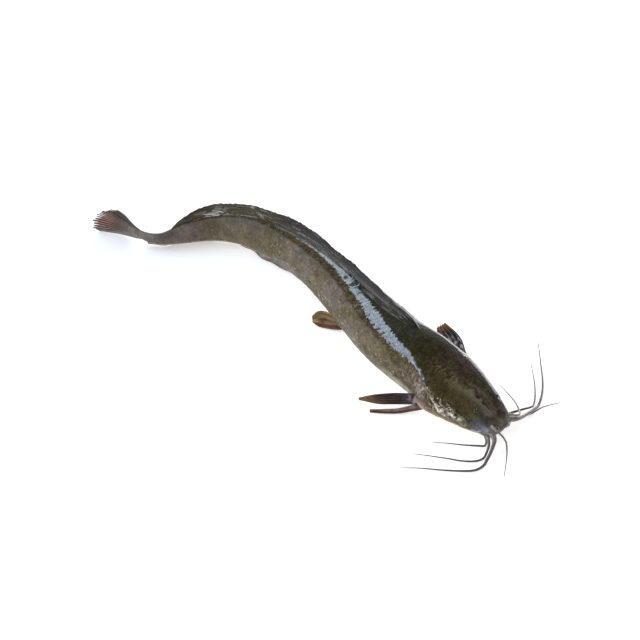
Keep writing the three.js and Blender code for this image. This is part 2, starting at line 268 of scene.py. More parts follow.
# The backbone, walked from the snout in steps of one millimetre, and a little ahead of it.
LEAD = 5.0
walk = np.arange(0.0, BACKBONE_END + 1)
heading = np.radians(bend(walk[1:] - 0.5))
first = math.radians(float(bend(0.0)))
forward = np.array([math.cos(first), math.sin(first), 0])
spine_x = SNOUT[0] - np.concatenate([[-LEAD * forward[0], 0], np.cumsum(np.cos(heading))])
spine_y = SNOUT[1] - np.concatenate([[-LEAD * forward[1], 0], np.cumsum(np.sin(heading))])
walk = np.concatenate([[-LEAD], walk])


def beside(along, left, height):
    """A point beside the backbone: distance along it, to the fish's left, and up."""
    along, left, height = np.broadcast_arrays(*(np.asarray(v, float) for v in (along, left, height)))
    turn = np.radians(bend(along))
    x = np.interp(along, walk, spine_x) - left * np.sin(turn)
    y = np.interp(along, walk, spine_y) + left * np.cos(turn)
    return np.stack([x, y, height], -1)


def near(points, place, spread):
    """1 at a place beside the backbone, falling off over the spread."""
    return bump(np.linalg.norm(points - beside(*place), axis=-1), spread)


def ring(along, angle):
    """Sideways place and height on the body's plain cross-section; angle 0 is the left side."""
    low, high = belly(along), back(along)
    widest = low + widest_at(along) * (high - low)
    across, upward = np.cos(angle), np.sin(angle)
    power = 2 / np.where(upward > 0, square_above(along), square_below(along))
    left = np.sign(across) * np.abs(across) ** power * width(along) / 2
    up = np.sign(upward) * np.abs(upward) ** power
    return left, widest + up * np.where(upward > 0, high - widest, widest - low)


# Meshes
def new_object(name, data):
    """A new object at the origin, in the scene."""
    thing = bpy.data.objects.new(name, data)
    bpy.context.scene.collection.objects.link(thing)
    return thing


def new_mesh(name, points, edges, faces):
    """A mesh from points in millimetres."""
    mesh = bpy.data.meshes.new(name)
    mesh.from_pydata((np.asarray(points) * MM).tolist(), edges, faces)
    return mesh


def finish_mesh(mesh, merge=0.0):
    """Joins points closer than merge, in metres, turns the faces outwards and shades them smooth."""
    work = bmesh.new()
    work.from_mesh(mesh)
    if merge:
        bmesh.ops.remove_doubles(work, verts=work.verts, dist=merge)
    bmesh.ops.recalc_face_normals(work, faces=work.faces)
    work.to_mesh(mesh)
    work.free()
    mesh.shade_smooth()


def new_piece(name, points, faces, material):
    mesh = new_mesh(name, points, [], faces)
    finish_mesh(mesh)
    mesh.materials.append(material)
    return new_object(name, mesh)


def set_colours(piece, name, colours):
    layer = piece.data.color_attributes.new(name, "FLOAT_COLOR", "POINT")
    rgba = np.ones((len(piece.data.vertices), 4), np.float32)
    rgba[:, :3] = colours
    layer.data.foreach_set("color", rgba.ravel())


def set_value(piece, name, values):
    layer = piece.data.attributes.new(name, "FLOAT", "POINT")
    layer.data.foreach_set("value", np.asarray(values, np.float32).ravel())


def set_flow(piece, uv_of_vertex):
    """The UV map "flow", given for each vertex."""
    corners = np.zeros(len(piece.data.loops), np.int32)
    piece.data.loops.foreach_get("vertex_index", corners)
    layer = piece.data.uv_layers.new(name="flow")
    layer.data.foreach_set("uv", np.asarray(uv_of_vertex, np.float32)[corners].ravel())


def shares(grid):
    """How far over the rows, and how far over the columns, each point of a grid lies, 0 to 1."""
    rows, columns = grid.shape[:2]
    return np.meshgrid(np.linspace(0, 1, rows), np.linspace(0, 1, columns), indexing="ij")


def grid_faces(rows, columns, start=0, wrap=False):
    """Quads over a grid of points, closed round each row when wrap is set."""
    faces = []
    for r in range(rows - 1):
        a = start + r * columns
        for c in range(columns if wrap else columns - 1):
            d = (c + 1) % columns
            faces.append((a + c, a + d, a + columns + d, a + columns + c))
    return faces


def closed_rings(rings, first_end, last_end):
    """Points and faces of a row of rings that is closed by one point at each end."""
    rows, columns = rings.shape[:2]
    points = np.vstack([rings.reshape(-1, 3), first_end, last_end])
    faces = grid_faces(rows, columns, wrap=True)
    ends, last_row = rows * columns, (rows - 1) * columns
    for c in range(columns):
        d = (c + 1) % columns
        faces.append((ends, d, c))
        faces.append((ends + 1, last_row + c, last_row + d))
    return points, faces


def surface_normals(grid):
    """Unit normals of a grid of points."""
    normal = np.cross(np.gradient(grid, axis=0), np.gradient(grid, axis=1))
    return normal / np.maximum(np.linalg.norm(normal, axis=-1, keepdims=True), 1e-9)


def dress(piece):
    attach(piece, "root")
    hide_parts("walking_catfish")


# Node trees
class Tree:
    """A node tree, with short ways to add nodes."""

    def __init__(self, tree):
        self.tree = tree

    def put(self, value, socket):
        """Links an output to a socket, or gives the socket a plain value."""
        if isinstance(value, bpy.types.NodeSocket):
            self.tree.links.new(value, socket)
        elif socket.type == "RGBA":
            socket.default_value = (*[float(v) for v in value], 1.0)
        else:
            socket.default_value = value

    def node(self, kind, settings=None, **inputs):
        """A new node with its settings, and its inputs by name."""
        node = self.tree.nodes.new(kind)
        for name, value in (settings or {}).items():
            setattr(node, name, value)
        for name, value in inputs.items():
            self.put(value, node.inputs[name.replace("_", " ")])
        return node

    def maths(self, operation, *values):
        node = self.node("ShaderNodeMath", {"operation": operation})
        for value, socket in zip(values, node.inputs):
            self.put(value, socket)
        return node.outputs[0]


class Shade(Tree):
    """A material's node tree."""

    def __init__(self, name):
        self.material = bpy.data.materials.new(name)
        self.material.use_nodes = True
        super().__init__(self.material.node_tree)
        self.shader = self.tree.nodes["Principled BSDF"]
        self.place = self.node("ShaderNodeTexCoord").outputs["Object"]

    def attribute(self, name, output="Color"):
        return self.node("ShaderNodeAttribute", {"attribute_name": name}).outputs[output]

    def flow(self):
        return self.node("ShaderNodeUVMap", {"uv_map": "flow"}).outputs["UV"]

    def split(self, place):
        return self.node("ShaderNodeSeparateXYZ", Vector=place).outputs

    def noise(self, scale, detail=3.0, roughness=0.55, place=None, distortion=0.0):
        return self.node(
            "ShaderNodeTexNoise", Vector=place or self.place, Scale=scale, Detail=detail, Roughness=roughness,
            Distortion=distortion).outputs["Fac"]

    def drawn_out(self, place, across, along, detail=3.0, roughness=0.6, distortion=0.0):
        """Noise that is finer in one direction of a map than in the other."""
        scaled = self.node("ShaderNodeMapping", Vector=place, Scale=(across, along, 1.0)).outputs["Vector"]
        return self.noise(1.0, detail, roughness, scaled, distortion)

    def cells(self, scale, feature="F1", randomness=1.0):
        return self.node("ShaderNodeTexVoronoi", {"feature": feature}, Vector=self.place, Scale=scale,
                         Randomness=randomness).outputs["Distance"]

    def spread(self, value, low, high, to_low=0.0, to_high=1.0):
        node = self.node("ShaderNodeMapRange", {"interpolation_type": "SMOOTHSTEP"})
        for socket, v in zip(node.inputs, (value, low, high, to_low, to_high)):
            self.put(v, socket)
        return node.outputs["Result"]

    def mix(self, share, a, b, mode="MIX"):
        node = self.node("ShaderNodeMix", {"data_type": "RGBA", "blend_type": mode}, Factor=share)
        for socket, colour in zip([s for s in node.inputs if s.type == "RGBA"], (a, b)):
            self.put(colour, socket)
        return next(s for s in node.outputs if s.type == "RGBA")

    def bumped(self, *layers):
        """Adds bump layers of (height, strength, distance in mm) to the shader and its coat."""
        normal = None
        for height, strength, distance in layers:
            node = self.node("ShaderNodeBump", Strength=strength, Distance=distance * MM, Height=height)
            if normal is not None:
                self.put(normal, node.inputs["Normal"])
            normal = node.outputs["Normal"]
        self.set(Normal=normal, Coat_Normal=normal)

    def set(self, **values):
        for name, value in values.items():
            self.put(value, self.shader.inputs[name.replace("_", " ")])


# Materials
def wet(shade, roughness=0.34, coat=1.0, coat_roughness=0.07):
    """The film of water and mucus that all of the fish wears."""
    shade.set(Roughness=roughness, IOR=1.38, Coat_Weight=coat, Coat_Roughness=coat_roughness, Coat_IOR=1.33)
    return shade.material


def skin_finish():
    shade = Shade("wet skin")
    mix, spread, times = shade.mix, shade.spread, partial(shade.maths, "MULTIPLY")
    colour = shade.attribute("skin_colour")
    thick_film = shade.attribute("film", "Fac")
    fleck_zone = shade.attribute("flecks", "Fac")
    flow = shade.flow()
    teeth = shade.drawn_out(flow, 150.0, 42.0, detail=2.0, distortion=0.6)
    ragged = shade.maths("ADD", thick_film, spread(teeth, 0.3, 0.7, -0.42, 0.42))
    film = spread(ragged, 0.36, 0.60)
    streaks = shade.drawn_out(flow, 120.0, 26.0, distortion=0.5)
    ripples = spread(shade.drawn_out(flow, 95.0, 60.0, distortion=1.0), 0.3, 0.7, -0.17, 0.20)
    grain = shade.noise(780.0, 4.0, 0.65)
    mottle = shade.noise(190.0, 4.0, 0.62, distortion=0.5)
    dark = mix(1.0, colour, (0.34, 0.33, 0.30), "MULTIPLY")
    light = mix(0.12, colour, (0.85, 0.80, 0.60), "ADD")
    rough = spread(fleck_zone, 0.0, 0.4, 0.5, 1.0)
    for share, tone in (
        (times(rough, spread(grain, 0.50, 0.72, 0.0, 0.62)), dark),
        (times(rough, spread(grain, 0.50, 0.30, 0.0, 0.42)), light),
        (spread(streaks, 0.52, 0.72, 0.0, 0.45), dark),
        (spread(streaks, 0.48, 0.30, 0.0, 0.30), light),
        (spread(mottle, 0.50, 0.75, 0.0, 0.40), dark),
    ):
        colour = mix(share, colour, tone)
    sizes = spread(shade.noise(260.0, 1.0), 0.35, 0.7, 0.0, 0.16)
    flecks = shade.maths("ADD", shade.cells(560.0), shade.maths("SUBTRACT", 0.10, sizes))
    colour = mix(times(spread(flecks, 0.16, 0.30, 1.0, 0.0), fleck_zone), colour, linear(150, 138, 106))
    pits = times(spread(shade.cells(640.0, randomness=0.9), 0.10, 0.26, 1.0, 0.0), fleck_zone)
    colour = mix(times(pits, 0.6), colour, linear(34, 28, 16))

    def by_film(bare, covered):
        return spread(film, 0.0, 1.0, bare, covered)

    shade.bumped(
        (shade.noise(230.0), by_film(0.40, 0.16), 0.35),
        (shade.cells(760.0, feature="SMOOTH_F1"), by_film(0.45, 0.10), 0.20),
        (shade.noise(1300.0, 2.0, 0.5), by_film(0.35, 0.06), 0.10),
    )
    shade.set(
        Base_Color=colour, Roughness=by_film(0.42, 0.32), IOR=1.38, Specular_IOR_Level=by_film(0.05, 0.2),
        Coat_IOR=shade.maths("ADD", spread(thick_film, 1.0, 2.0, 1.52, 1.9), ripples),
        Coat_Weight=by_film(0.02, 1.0), Coat_Roughness=by_film(0.16, 0.06),
        Subsurface_Weight=0.05, Subsurface_Radius=(0.004, 0.002, 0.0012), Subsurface_Scale=1.0)
    return shade.material


def fin_finish(name, streaks=1.0, sweep=0.0, coat=0.6, shine=0.5, patchy=False, contrast=(150, 145, 145),
               folds=0.0):
    """Fin skin in the piece's own colours, with fine streaks along the rays and folds along the fin."""
    shade = Shade(name)
    colour = shade.attribute("fin_colour")
    flow = shade.split(shade.flow())
    swept = shade.maths("SUBTRACT", flow["X"], shade.maths("MULTIPLY", flow["Y"], sweep))
    place = shade.node("ShaderNodeCombineXYZ", X=swept, Y=flow["Y"]).outputs[0]
    along_rays = shade.drawn_out(place, 260.0 * streaks, 6.0)
    blotches = shade.spread(shade.noise(420.0), 0.45, 0.7, 0.0, 0.4)
    colour = shade.mix(shade.spread(along_rays, 0.35, 0.7, 0.0, 0.7), colour, linear(*contrast), "MULTIPLY")
    colour = shade.mix(blotches, colour, linear(170, 160, 150), "MULTIPLY")
    if folds:
        lines = shade.drawn_out(place, 12.0, 11.0, roughness=0.65, distortion=0.3)
        colour = shade.mix(shade.spread(lines, 0.53, 0.64, 0.0, folds), colour, (0.20, 0.19, 0.175), "ADD")
        colour = shade.mix(shade.spread(lines, 0.46, 0.32, 0.0, folds), colour, linear(30, 25, 22))
    shade.set(Base_Color=colour, Specular_IOR_Level=shine)
    shade.bumped((along_rays, 0.35, 0.2), (shade.noise(900.0), 0.25, 0.08))
    if patchy:
        coat = shade.spread(shade.noise(240.0, 2.0), 0.52, 0.60, 0.08, coat)
    return wet(shade, 0.38, coat)


def patchy_finish(shade, colour, size, tone, grain, depth, roughness, coat=1.0):
    """Ends a soft skin: darker patches of the given size, a fine grain and the film of water."""
    patch = shade.noise(size, 3.0, 0.6)
    colour = shade.mix(shade.spread(patch, 0.4, 0.7, 0.0, 0.6), colour, linear(*tone), "MULTIPLY")
    shade.set(Base_Color=colour)
    shade.bumped((shade.noise(grain), 0.3, depth))
    return wet(shade, roughness, coat)


def ray_finish(name, root, tip, rear=None, tip_from=0.95, coat=1.0):
    """A ray's colour from root to tip; rear gives another colour for a long fin's last third."""
    shade = Shade(name)
    towards_tip = shade.spread(shade.attribute("share", "Fac"), 0.1, tip_from)
    colour = shade.mix(towards_tip, linear(*root), linear(*tip))
    if rear:
        towards_rear = shade.spread(shade.attribute("ray_place", "Fac"), 0.40, 0.62)
        colour = shade.mix(towards_rear, colour, linear(*rear))
    return patchy_finish(shade, colour, 500.0, (150, 145, 140), 1400.0, 0.06, 0.34, coat)


def barbel_finish():
    shade = Shade("barbel skin")
    share = shade.attribute("share", "Fac")
    colour = shade.mix(shade.spread(share, 0.0, 0.35), linear(134, 121, 116), linear(86, 73, 66))
    colour = shade.mix(shade.spread(share, 0.4, 1.0), colour, linear(60, 49, 44))
    return patchy_finish(shade, colour, 330.0, (150, 140, 140), 1100.0, 0.08, 0.4)


def nostril_finish():
    shade = Shade("nostril skin")
    patch = shade.spread(shade.noise(600.0), 0.35, 0.65)
    shade.set(Base_Color=shade.mix(patch, linear(150, 144, 140), linear(104, 98, 92)))
    shade.bumped((shade.noise(1200.0), 0.3, 0.06))
    return wet(shade, 0.35)


def eye_finish():
    shade = Shade("eye")
    shade.set(Base_Color=shade.attribute("eye_colour"))
    return wet(shade, 0.15, 1.0, 0.02)


def floor_finish():
    shade = Shade("pale floor")
    speck = shade.spread(shade.noise(30.0), 0.3, 0.7, 0.0, 0.15)
    place = shade.split(shade.place)
    # The floor's glow is painted light: stronger towards the head, which washes out the fish's shadow there,
    # and weaker under the tail, so that its shadow shows there.
    glow = shade.spread(place["X"], -0.10, 0.12, 0.38, 0.60)
    less_glow_under_tail = shade.spread(place["X"], -0.135, -0.08, 0.14, 0.0)
    shade.set(
        Base_Color=shade.mix(speck, linear(236, 234, 230), linear(230, 229, 226)), Roughness=0.9,
        Specular_IOR_Level=0.1, Emission_Color=(1.0, 1.0, 1.0),
        Emission_Strength=shade.maths("SUBTRACT", glow, less_glow_under_tail))
    return shade.material


# The body's skin
HEAD_END = 62.0
SKIN_END = 301.0
# Its mesh: the distance between rings on the head, the rings of the body and of the snout's dome,
# and the points of a ring.
HEAD_RING_STEP = 0.36
BODY_RINGS = 236
SNOUT_RINGS = 7
SKIN_COLUMNS = 226
# Heights of the mouth's crease and of the lips.
MOUTH_HEIGHT = 6.2
UPPER_LIP_HEIGHT = 7.9
LOWER_LIP_HEIGHT = 4.6
# Wrinkles of the gill cover and the throat: the radius they lie on, and how closely they follow
# each other, in radians of a wave for each millimetre.
COVER_RADIUS, COVER_WAVES = 14.0, 1.7
THROAT_RADIUS, THROAT_WAVES = 13.0, 1.9
# The jaw's slant across the side of the head, in degrees from the ridge for each millimetre.
JAW_SLANT = 1.64
# Length of one muscle segment.
SEGMENT = 4.6
# How far down the sides the dark back reaches, in degrees from the ridge.
EDGE_OF_BACK = through([
    (0, 84), (20, 92), (31, 90), (36, 80), (40, 69), (45, 60), (58, 54), (66, 66), (70, 66), (74, 56),
    (84, 50), (100, 44), (110, 40), (120, 38), (130, 29), (150, 26), (170, 25.5), (180, 24), (190, 17.5),
    (205, 15), (215, 13), (240, 9), (290, 8),
])
FIN_FOLD_EDGE = through([(74, -3.5), (80, -3), (90, -0.8), (100, 0), (110, 1), (120, 3), (290, 3)])
# The band of thick wet film, from its upper to its lower edge, in degrees from the ridge.
FILM_TOP = through([
    (44, 57), (48, 48), (52, 45), (56, 43.5), (60, 37.5), (68, 33), (76, 28), (84, 21.5), (90, 17.5),
    (100, 11.5), (110, 8), (120, 5), (130, 1.3), (290, 0),
])
FILM_END = through([
    (44, 62), (48, 60), (52, 52), (56, 49), (60, 48.5), (66, 50), (72, 50), (78, 44), (84, 41), (90, 39),
    (100, 32), (110, 23), (120, 20), (130, 17), (140, 13.5), (150, 9.8), (160, 7.8), (170, 5.5), (190, 4.5),
    (290, 3.5),
])
# Marks on the head: distance along, degrees from the ridge towards the right side, length,
# breadth in degrees, how it drifts per millimetre, colour, share.
HEAD_MARKS = [
    (39, -12, 11, 12, 0.35, (52, 36, 31), 0.9),
    (29, -15, 6, 6, 0.3, (46, 33, 29), 0.7),
    (60, -20, 11, 11, 0.0, (18, 17, 12), 0.85),
    (10, 26, 3.5, 7, 0.0, (104, 100, 94), 0.6),
    (24, -27, 22, 6, 0.0, (48, 48, 34), 0.55),
    (38, -25, 22, 4.5, 0.0, (12, 13, 9), 0.95),
    (13, -20, 8, 9, 0.3, (40, 31, 25), 0.7),
    (20, 17, 11, 8, 0.5, (108, 100, 80), 0.85),
    (9, 12, 6, 9, 0.0, (100, 93, 80), 0.75),
    (28, 26, 9, 9, 0.0, (84, 78, 54), 0.5),
    (21, -2, 6, 3, 0.2, (106, 88, 80), 0.7),
    (17, -11, 5, 2.5, 0.3, (92, 78, 70), 0.5),
    (9, -4, 4, 2.5, 0.0, (98, 84, 76), 0.5),
    (2.5, -40, 3.5, 15, 0.0, (158, 146, 150), 0.85),
    (3, 8, 4, 16, 0.0, (120, 112, 104), 0.6),
    (15.5, 6, 9, 2.6, -0.05, (22, 18, 15), 0.9),
    (26, 34, 12, 14, 0.0, (74, 68, 42), 0.5),
    (47, -6, 9, 9, 0.0, (42, 31, 25), 0.8),
    (44, 44, 7, 12, 0.0, (48, 44, 24), 0.5),
]
# Patches behind the gill cover, given in the same way.
SHOULDER_MARKS = [
    (66, 58, 7, 6, -0.3, (104, 98, 52), 0.6),
    (52, 70, 5, 6, 0.0, (78, 52, 40), 0.7),
    (58, 78, 5, 7, 0.0, (70, 48, 36), 0.5),
    (49, 62, 3, 4, -0.8, (128, 116, 100), 0.6),
    (55, 66, 3, 3, 0.5, (126, 122, 84), 0.6),
    (47, 80, 3.5, 9, 0.0, (118, 100, 82), 0.5),
    (72, 82, 9, 5, 0.0, (92, 78, 54), 0.5),
]
# Where flesh rises round the paired fins: place, rise and spread.
FIN_ROOTS = (
    ((43.5, -16.5, 8.5), 1.0, 4.2), ((43, 17, 8), 1.0, 4.5), ((124, -12.5, 3.6), 0.6, 4.0),
    ((124, 12.5, 3.6), 0.6, 4.0),
)


def skin_places():
    """Distances along the body and angles round it where the skin has its points."""
    samples = 900
    head = np.arange(0.0, HEAD_END, HEAD_RING_STEP)
    along = np.concatenate([head, np.linspace(HEAD_END, SKIN_END, BODY_RINGS)])
    dense = np.linspace(-math.pi / 2, 3 * math.pi / 2, samples)
    left, height = ring(along[:, None], dense[None, :])
    steps = np.hypot(np.diff(left, axis=1), np.diff(height, axis=1))
    girth = np.concatenate([np.zeros((len(along), 1)), np.cumsum(steps, axis=1)], axis=1)
    around = np.arange(SKIN_COLUMNS) / SKIN_COLUMNS
    angle = np.array([np.interp(around * g[-1], g, dense) for g in girth])
    return along, angle, around[None, :] * girth[:, -1:]


class SkinPoints:
    """Where the skin's points lie, and the unevenness and zones that its shape and colours share."""

    def __init__(self, along, angle):
        s = self.s = along[:, None] + 0 * angle
        self.angle = angle
        self.left, self.height = ring(s, angle)
        self.base = beside(s, self.left, self.height)
        self.across = np.degrees(angle) - 90  # from the ridge of the back towards the fish's right side
        down = self.down = np.abs(self.across)
        self.patchy = self.clouds(7.0, 61, 3)
        self.fine = self.clouds(2.2, 62)
        self.edge = EDGE_OF_BACK(s) + 2.5 * self.clouds(9.0, 63) + 2.0 * self.fine
        # The wet wrinkles run along the jaw, meandering a little.
        self.jaw = down + JAW_SLANT * s
        meander = 1.6 * self.clouds(6.0, 11) + 1.1 * self.clouds(3.0, 12)
        self.wave = np.radians(self.jaw) * COVER_RADIUS * COVER_WAVES + meander
        # The dark back's edge is a band of ochre speckles.
        band = smooth(down, FILM_END(s) - 2, FILM_END(s) + 2) * fade(down - EDGE_OF_BACK(s), -4, 4)
        self.band = band * between(s, 58, 74, 200, 226)
        belly_edge = 112 + 10 * smooth(s, 80, 110) + 8 * smooth(s, 140, 210) + 4 * self.clouds(7.0, 71)
        pale = smooth(down, belly_edge - 8, belly_edge + 12) * (1 - 0.5 * smooth(s, 190, 260))
        self.pale = np.maximum(pale, 0.95 * bump(s - 57, 14) * smooth(down, 90, 102))
        self.shoulder = bump(s - 46, 6) * bump(down - 76, 14)

    def clouds(self, size, seed, octaves=2):
        return clouds(self.base, size, seed, octaves)


def head_relief(at):
    """Gill covers, lips, eye sockets and the bony shield of the head."""
    s, left, down, base = at.s, at.left, at.down, at.base
    # The gill covers bulge towards a free edge, which reaches furthest back about half way up.
    from_side = np.arcsin(np.sin(at.angle)) + 0.25
    free_edge = 49.5 - 4.0 * (from_side / 0.9) ** 2
    out = 1.25 * smooth(s, 20, 44) * fade(s, free_edge - 1.3, free_edge + 0.9) * bump(from_side, 0.75)

    lips = fade(s, 5, 9.5)
    out -= 1.5 * lips * bump(at.height - MOUTH_HEIGHT, 0.6)
    upper, lower = bump(at.height - UPPER_LIP_HEIGHT, 1.0), bump(at.height - LOWER_LIP_HEIGHT, 0.9)
    out += 0.5 * lips * (upper + lower)

    middle = beside(EYE["along"], 0, EYE["height"])
    sideways = (beside(EYE["along"], 1, EYE["height"]) - middle) * EYE["left"]
    eye_at = middle + sideways * np.where(left < 0, -1.0, 1.0)[..., None]
    from_eye = np.linalg.norm(base - eye_at, axis=-1)
    out += 0.08 * bump(from_eye - 2.6, 0.9) - 0.3 * bump(from_eye, 1.6)

    # A shallow trough along the middle, ridges beside it, and an uneven hind edge.
    out -= 0.40 * between(s, 6, 12, 24, 36) * bump(left - 0.4 * np.sin(s / 5), 1.4)
    out += 0.15 * between(s, 8, 16, 26, 40) * bump(np.abs(left) - 5.5 - 0.06 * s, 1.6)
    shield_edge = 60 - 0.06 * left**2 + 1.5 * np.sin(left * 1.3)
    out += 0.14 * fade(s - shield_edge, -1.0, 2.4) * fade(down, 40, 60) * smooth(s, 40, 55)
    out += 0.10 * fade(s, 52, 64) * at.clouds(3.6, 5) * fade(down, 60, 80)

    # Wet wrinkles in the thin skin of the gill covers, and folds of the throat below them.
    crumple = between(s, 13, 18, 35, 41) * between(down, 56, 66, 96, 106)
    deep = 0.20 + 0.14 * smooth(down, 72, 84)
    out += deep * crumple * np.sin(at.wave) * (0.85 + 0.3 * at.clouds(7.0, 13))
    out += 0.03 * crumple * np.sin(2.3 * at.wave + 1.4 * at.clouds(2.5, 14))
    throat = between(s, 12, 22, 42, 50) * smooth(down, 100, 112)
    return out + 0.22 * throat * np.sin(np.radians(down) * THROAT_RADIUS * THROAT_WAVES - s * 0.32)


def body_relief(at):
    """Muscle segments, lateral line, fin roots, barbel sockets and creases."""
    s, left, down, base = at.s, at.left, at.down, at.base
    # The muscle segments of trunk and tail lie in a row of shallow chevrons.
    trunk = between(s, 62, 90, 262, 285) * between(down, 25, 40, 125, 150)
    chevron = s + 0.16 * np.abs(down - 82) + 0.8 * at.clouds(14.0, 21)
    out = 0.10 * trunk * np.sin(chevron * 2 * math.pi / SEGMENT)

    # The lateral line is a fine furrow from the gill cover to the tail.
    from_line = np.radians(down - 84 - 3 * np.sin(s / 31)) * width(s) / 2
    out -= 0.20 * between(s, 50, 60, 270, 288) * bump(from_line, 0.55)

    # Flesh rises round the roots of fins and barbels.
    out += 0.75 * between(s, 66, 76, 262, 272) * bump(left - dorsal_side(s), 1.7) * (down < 90)
    out += 0.5 * between(s, 148, 158, 280, 288) * bump(left - 0.5, 1.5) * (down > 90)
    for place, rise, spread in FIN_ROOTS:
        out += rise * near(base, place, spread)
    for thickness, _, route in BARBELS.values():
        ahead, aside, up = route[1]
        out += 0.35 * near(base, (-ahead, aside, up), thickness * 0.85)

    # Creases cross the inside of the tail's bend, and all of the skin is softly uneven.
    inside = bump(s - 250, 16) * np.where(left < 0, 1.0, 0.35) * smooth(down, 30, 60)
    out += 0.12 * inside * np.sin(s * 2.6 + 0.6 * at.clouds(8.0, 31))
    out += 0.20 * at.clouds(20.0, 41) * smooth(s, 4, 30) * (1 - 0.6 * smooth(s, 240, 280))
    return out + 0.05 * at.clouds(4.0, 42)


def mark_layers(at, marks, sideways, uneven, strength, worn):
    """Layers of paint for a list of marks, which lie sideways as given, with uneven edges."""
    layers = []
    for along, aside, length, breadth, drift, tone, share in marks:
        ahead = at.s - along
        mark = bump(ahead + 1.5 * at.fine, length)
        mark = mark * bump(sideways - aside - drift * ahead + uneven * at.fine, breadth)
        layers.append((tone, share * np.clip(strength * mark, 0, 1) * worn))
    return layers


def back_colours(at):
    """The dark olive back and head, with their marks and pale veins."""
    s, across, down = at.s, at.across, at.down
    head = fade(s, 50, 66)
    veins = fade(np.abs(at.clouds(2.6, 65, 3)), 0.04, 0.24) * bump(s - 39, 10) * bump(across - 16, 11)
    faint = fade(np.abs(at.clouds(3.4, 65, 3)), 0.03, 0.16) * smooth(s, 12, 20) * fade(down, 60, 85)
    colour = blend(linear(54, 47, 20), linear(36, 28, 17), smooth(at.patchy, 0.1, 0.75) * 0.7)
    return painted(colour, [
        ((38, 40, 24), 0.8 * between(s, 60, 78, 120, 170)),
        ((60, 54, 38), smooth(s, 120, 165)),
        ((70, 65, 38), 0.4 * head * smooth(at.clouds(10.0, 64), 0.0, 0.7) * smooth(across, 8, 26)),
        *mark_layers(at, HEAD_MARKS, across, 3.0, 1.25, smooth(at.patchy, -1.1, -0.1)),
        ((124, 114, 90), 0.85 * veins),
        ((84, 76, 58), 0.22 * faint * head),
        ((34, 29, 16), 0.65 * bump(s - 62, 14) * fade(down, 34, 58)),
    ])


def flank_colours(at):
    """The paler sides, darker behind the gill covers."""
    s, down = at.s, at.down
    colour = blend(linear(94, 85, 66), linear(98, 90, 74), smooth(down, 60, 108))
    colour = painted(colour, [
        ((108, 98, 92), 0.6 * smooth(at.clouds(13.0, 67), -0.1, 0.6) * smooth(s, 85, 120)),
        ((84, 76, 44), 0.50 * smooth(at.clouds(5.0, 68, 3), 0.1, 0.8)),
        ((92, 84, 69), 0.7 * smooth(s, 190, 225)),
        ((98, 90, 87), 0.8 * smooth(s, 244, 268)),
    ])
    darker = 1 - 0.22 * bump(s - 62, 16) * fade(down, 84, 104)
    darker = darker * (1 - 0.24 * bump(s - 67, 6) * fade(down, 70, 80))
    return colour * darker[..., None]


def ridge_layers(at):
    """The speckled edge of the back, and what lies along the foot of the back fin."""
    s, across, down = at.s, at.across, at.down
    # A pale, broken line beside the back fin is a painted glint on the ridge at the fin's foot.
    line = bump(down - (10 - 0.08 * (s - 150)), 1.7) * between(s, 142, 152, 180, 196)
    # The front of the back fin has a streaky fold of skin along its foot.
    fold = smooth(across, -15, -10) * fade(across - FIN_FOLD_EDGE(s), -0.8, 0.8) * (down < 90)
    fold = fold * between(s, 73, 82, 114, 122)
    drawn_out = np.stack([s * 0.30, across * 0.9 + s * 0.12, 0 * down], -1)
    return [
        ((68, 56, 30), 0.85 * at.band),
        ((92, 76, 42), 0.42 * at.band * smooth(at.fine, 0.1, 0.8)),
        ((36, 30, 16), 0.6 * at.band * smooth(-at.clouds(1.6, 69), 0.05, 0.6)),
        ((184, 180, 174), 0.75 * line * smooth(at.clouds(2.4, 82), -0.7, 0.1)),
        ((58, 55, 48), 0.8 * fold),
        ((124, 120, 112), 0.75 * fold * smooth(clouds(drawn_out, 1.6, 85, 3), -0.2, 0.7)),
    ]


def cheek_layers(at):
    """Bluish grey cheeks and lips, painted as a reflection of the sky in the wet film, with a pale painted
    highlight low on the cheek.
    """
    down, fine = at.down, at.fine
    cheek_reflection = fade(at.s + 5 * fine, 8, 14) * smooth(down + 10 * fine, 26, 48)
    tip = fade(at.s + 3 * fine, 1.5, 7)
    return [
        ((50, 56, 66), 0.75 * cheek_reflection),
        ((128, 128, 146), 0.8 * cheek_reflection * smooth(down + 16 * fine, 70, 96)),
        ((28, 34, 46), 0.75 * cheek_reflection * smooth(at.clouds(2.6, 75), 0.0, 0.5)),
        ((112, 105, 100), 0.7 * tip * (0.6 + 0.4 * smooth(down + 6 * fine, 20, 50))),
    ]


